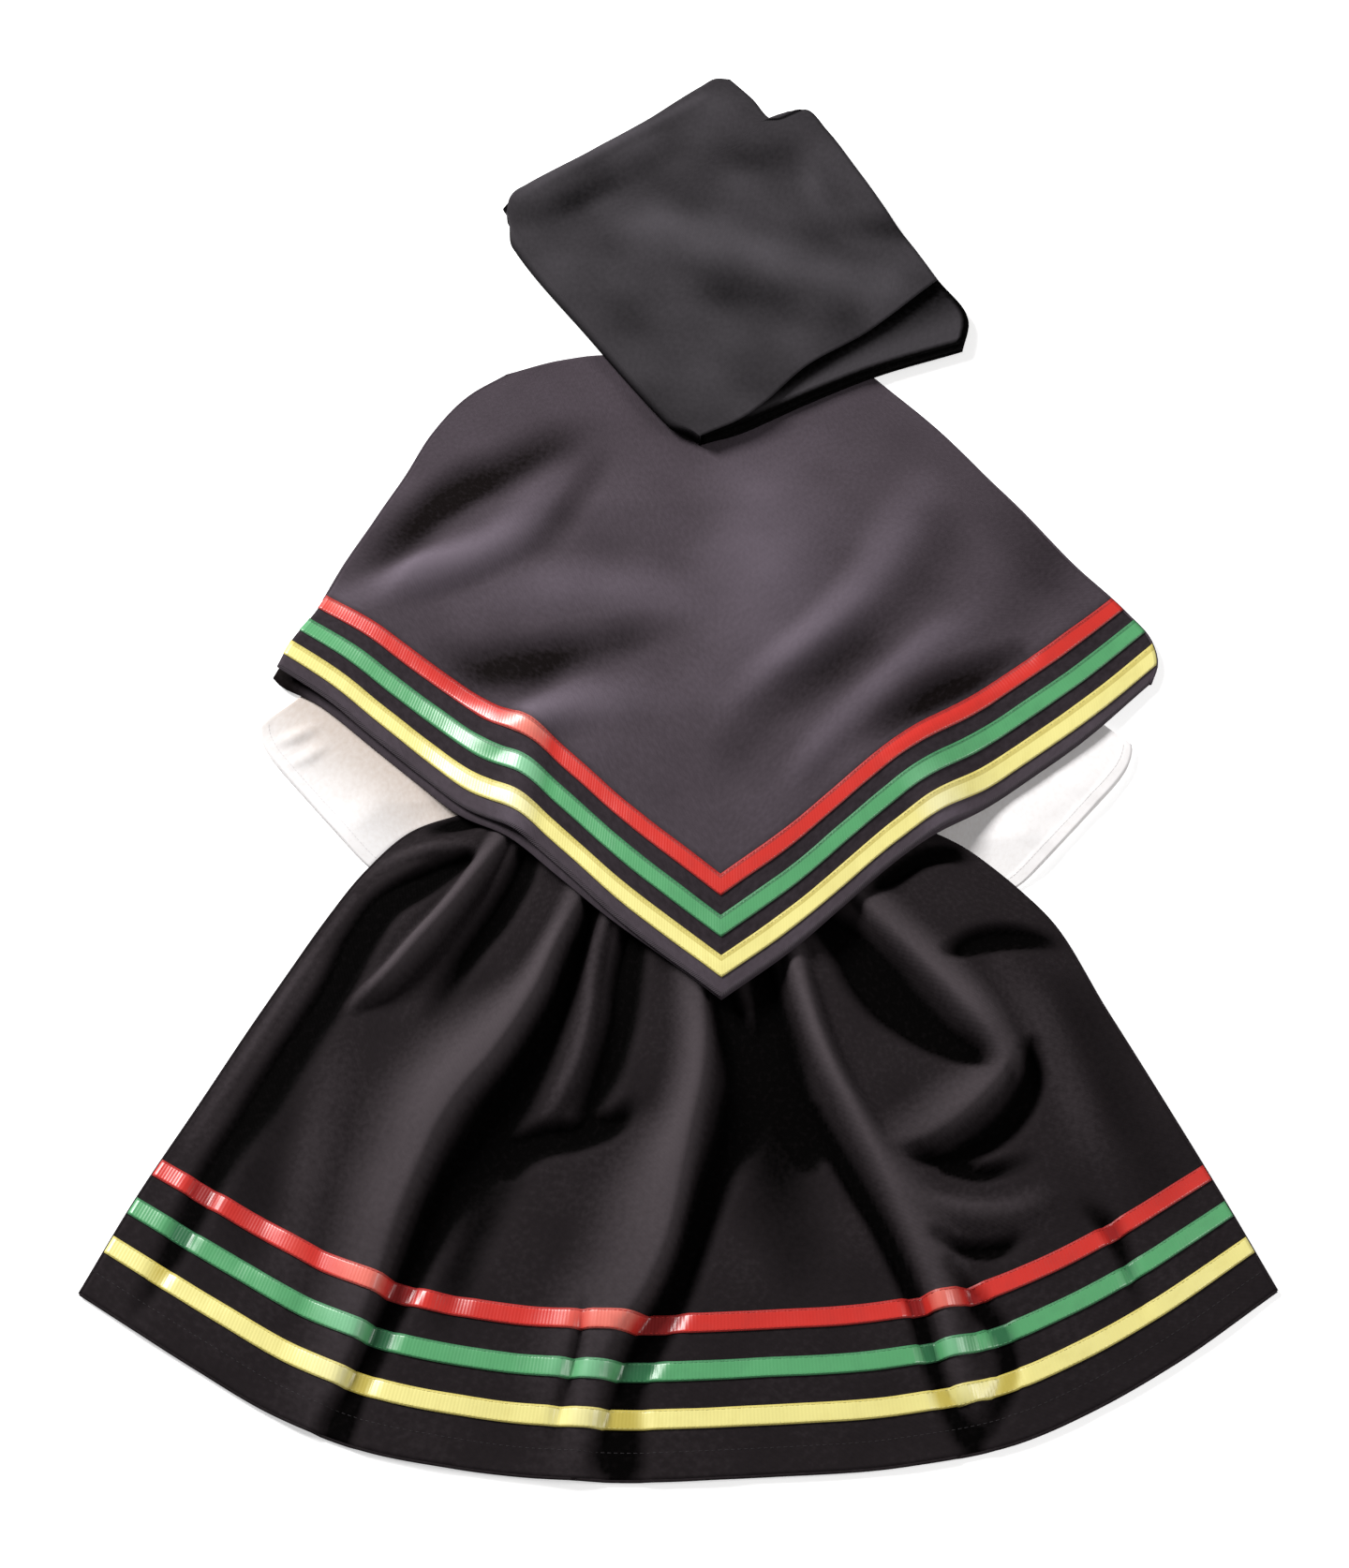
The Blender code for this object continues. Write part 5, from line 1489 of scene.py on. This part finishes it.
def outer_leaf_points(u, v):
    """The bottom leaf, the rounded fold and the top leaf, in one sheet."""
    share = np.maximum(np.maximum(1 - v / LEAF_SHARE, (v - 1 + LEAF_SHARE) / LEAF_SHARE), 0.0)
    top = v > 0.5
    low_plan = leaf_plan(u, share, LOWER_TOP, LOWER_FREE, LOWER_LOW)
    top_plan = leaf_plan(u, share, UPPER_TOP, UPPER_FREE, UPPER_LOW)
    on_top_leaf = np.clip((v - LEAF_SHARE) / (1 - 2 * LEAF_SHARE), 0, 1)
    plan = np.where((on_top_leaf >= 1)[:, None], top_plan, low_plan)
    turn = on_top_leaf * math.pi
    start, end = PILE_FOLD[0], PILE_FOLD[-1]
    run = np.array([end.x - start.x, end.y - start.y], float)
    out = np.array([run[1], -run[0]]) / np.hypot(*run)
    radius = PILE_HIGH / 2
    pull = (1 - smooth(share / FOLD_ZONE)) * radius
    at_corner = 1 - smooth(np.minimum(u, 1 - u) / FOLD_CORNER)
    pull = pull * (1 + CORNER_PULL * at_corner) - radius * np.sin(turn) * (1 - CORNER_FLAT * at_corner)
    plan = plan - out * pull[:, None]
    x, y = plan.T
    soft = top * smooth(share / LOOSE_ZONE) * (TOP_LOOSE + folds_together(PILE_FOLDS, x, y) + swell(x, y))
    return np.column_stack([plan, pile_rest(y) + radius * (1 - np.cos(turn)) + soft])


def outer_leaf_tone(u, v):
    """Painted light and shade from the creases on the top leaf, and painted shade round the fold and below.
    """
    x, y = outer_leaf_points(u, v)[:, :2].T
    creases = np.interp(folds_together(PILE_FOLDS, x, y) + swell(x, y), PILE_TONES, (0, 0.5, 1))
    return creases * climb(v, PAINTED_SHADE_BELOW)


outer_leaf = lay("head_cloth_outer_wrap", LEAF_COLUMNS, LEAF_ROWS, outer_leaf_points, PILE_WALL, -1,
                 "head_cloth_weave", ["head_cloth_outer_leaf"], outer_leaf_tone)

# %% The inner leaves
Leaf = namedtuple("Leaf", "level inset outline nodes face")
TUBE_COLUMNS, TUBE_ROWS = 120, 64
LEAF_TALL, LEAF_WALL, LEAF_FROM_FOLD, LEAF_BULGE = 2.9, 1.1, 0.06, 0.004
# These measures place the painted shade at the leaves' edges, seams and the strip under the upper leaf.
LEAF_EDGE, LEAF_SEAM, LEAF_LIT = Ramp(0.985, 0.012), 0.008, 0.25
LEAF_BARE, LEAF_BARE_CURVE, LEAF_BARE_LEAST = 0.24, 1.4, 0.004
LOWER, UPPER = (LOWER_TOP, LOWER_FREE, LOWER_LOW), (UPPER_TOP, UPPER_FREE, UPPER_LOW)
# face is the painted shading of a leaf's top; 0 paints the whole leaf as painted shade.
INNER_LEAVES = {
    "head_cloth_leaf_low": Leaf(2.0, 0.004, LOWER, ["head_cloth_lower_layers"], 0.0),
    "head_cloth_leaf_middle": Leaf(5.3, 0.018, LOWER, [], 0.62),
    "head_cloth_leaf_high": Leaf(8.6, 0.010, UPPER, ["head_cloth_upper_layers"], 0.0),
}


def leaf_points(leaf):
    """A leaf folded double: a flattened tube whose folds lie at the packet's two ends."""
    def place(u, v):
        on_top_side = u < 0.5
        step = np.where(on_top_side, u * 2, u * 2 - 1)
        bend = np.clip((step - FLAT_SHARE) / (1 - FLAT_SHARE), 0, 1) * math.pi
        spread = np.clip(step / FLAT_SHARE, 0, 1)
        bulge = LEAF_BULGE * np.sin(bend)
        along_fold = np.where(on_top_side, 1 - spread - bulge, spread + bulge)
        along_fold = between(leaf.inset + LEAF_BULGE, 1 - leaf.inset - LEAF_BULGE, along_fold)
        away = between(LEAF_FROM_FOLD, 1 - leaf.inset, v)
        plan = leaf_plan(along_fold, away, *leaf.outline)
        rise = np.where(on_top_side, 1.0, -1.0) * np.cos(bend)
        return np.column_stack([plan, pile_rest(plan[:, 1]) + leaf.level + LEAF_TALL / 2 * (1 + rise)])

    return place


def leaf_tone(leaf):
    """Painted shade: only the middle leaf shows its face, the other leaves are painted dark all over, and
    the edges of all the leaves get painted shade.
    """
    def tone(u, v):
        from_rim = u * 2 / FLAT_SHARE / (LEAF_BARE * v**LEAF_BARE_CURVE + LEAF_BARE_LEAST)
        shaded = smooth((from_rim - LEAF_LIT) / (1 - LEAF_LIT))
        return leaf.face * (1 - climb(v, LEAF_EDGE)) * smooth(u / LEAF_SEAM) * (1 - shaded)

    return tone


inner_leaves = {
    name: lay_tube(name, TUBE_COLUMNS, TUBE_ROWS, leaf_points(leaf), LEAF_WALL, "head_cloth_weave",
                   leaf.nodes, leaf_tone(leaf))
    for name, leaf in INNER_LEAVES.items()
}

# %% [markdown]
# ## The size of each cut
#
# Cloth doesn't stretch much, so each panel's area has to be close to that of the flat piece it was cut
# from. Each piece prints its size and its area when it is laid.

# %% The cuts
print("the size of each cut is printed as it is laid")

# %% [markdown]
# ## Floor and light
#
# The costume was photographed on pure white, almost without shadows, as on a light table. So the floor
# is a plain pale sheet that glows a little. A soft lamp low at the upper left draws the folds, a weak one
# at the right opens their other sides, and a dim pale surround leaves the hollows deep.

# %% Floor
FLOOR_WIDE, FLOOR_DOWN = 30.0, 0.0005
FLOOR_PALE, FLOOR_ROUGHNESS, FLOOR_GLOSS, FLOOR_GLOW = (0.93, 0.93, 0.93, 1), 0.9, 0.1, 0.5
bpy.ops.object.select_all(action="DESELECT")
bpy.ops.mesh.primitive_plane_add(size=FLOOR_WIDE, location=(0, 0, -FLOOR_DOWN))
floor = bpy.context.object
floor.name = "studio_floor"
floor_paint, floor_shader = principled("pale_floor", FLOOR_ROUGHNESS, FLOOR_GLOSS)
floor_shader.inputs["Base Color"].default_value = FLOOR_PALE
floor_shader.inputs["Emission Color"].default_value = (1, 1, 1, 1)
floor_shader.inputs["Emission Strength"].default_value = FLOOR_GLOW
floor.data.materials.append(floor_paint)
print("the floor is", FLOOR_WIDE, "m wide")

# %% Lamps
SURROUND_GLOW = 0.12
Lamp = namedtuple("Lamp", "place aim wide tall power colour")
LAMPS = {
    "key_lamp": Lamp((-2.6, 2.0, 2.4), (0, -0.05, 0), 1.4, 1.4, 270, (1.0, 0.99, 0.985)),
    "right_lamp": Lamp((3.2, -0.6, 2.6), (0, -0.05, 0), 1.6, 1.6, 80, (1.0, 0.985, 0.975)),
}
for name, lamp in LAMPS.items():
    bpy.ops.object.light_add(type="AREA", location=lamp.place)
    light = bpy.context.object
    light.name = name
    light.data.shape = "RECTANGLE"
    light.data.size, light.data.size_y = lamp.wide, lamp.tall
    light.data.energy = lamp.power
    light.data.color = lamp.colour
    way = [aim - place for aim, place in zip(lamp.aim, lamp.place)]
    flat_way = math.hypot(way[0], way[1])
    light.rotation_euler = (math.atan2(flat_way, -way[2]), 0, math.atan2(-way[0], way[1]))
world = bpy.data.worlds.new("pale_surround")
world.use_nodes = True
world.node_tree.nodes["Background"].inputs["Color"].default_value = (1, 1, 1, 1)
world.node_tree.nodes["Background"].inputs["Strength"].default_value = SURROUND_GLOW
bpy.context.scene.world = world
bpy.context.scene.view_settings.view_transform = "Standard"
print(len(LAMPS), "lamps")
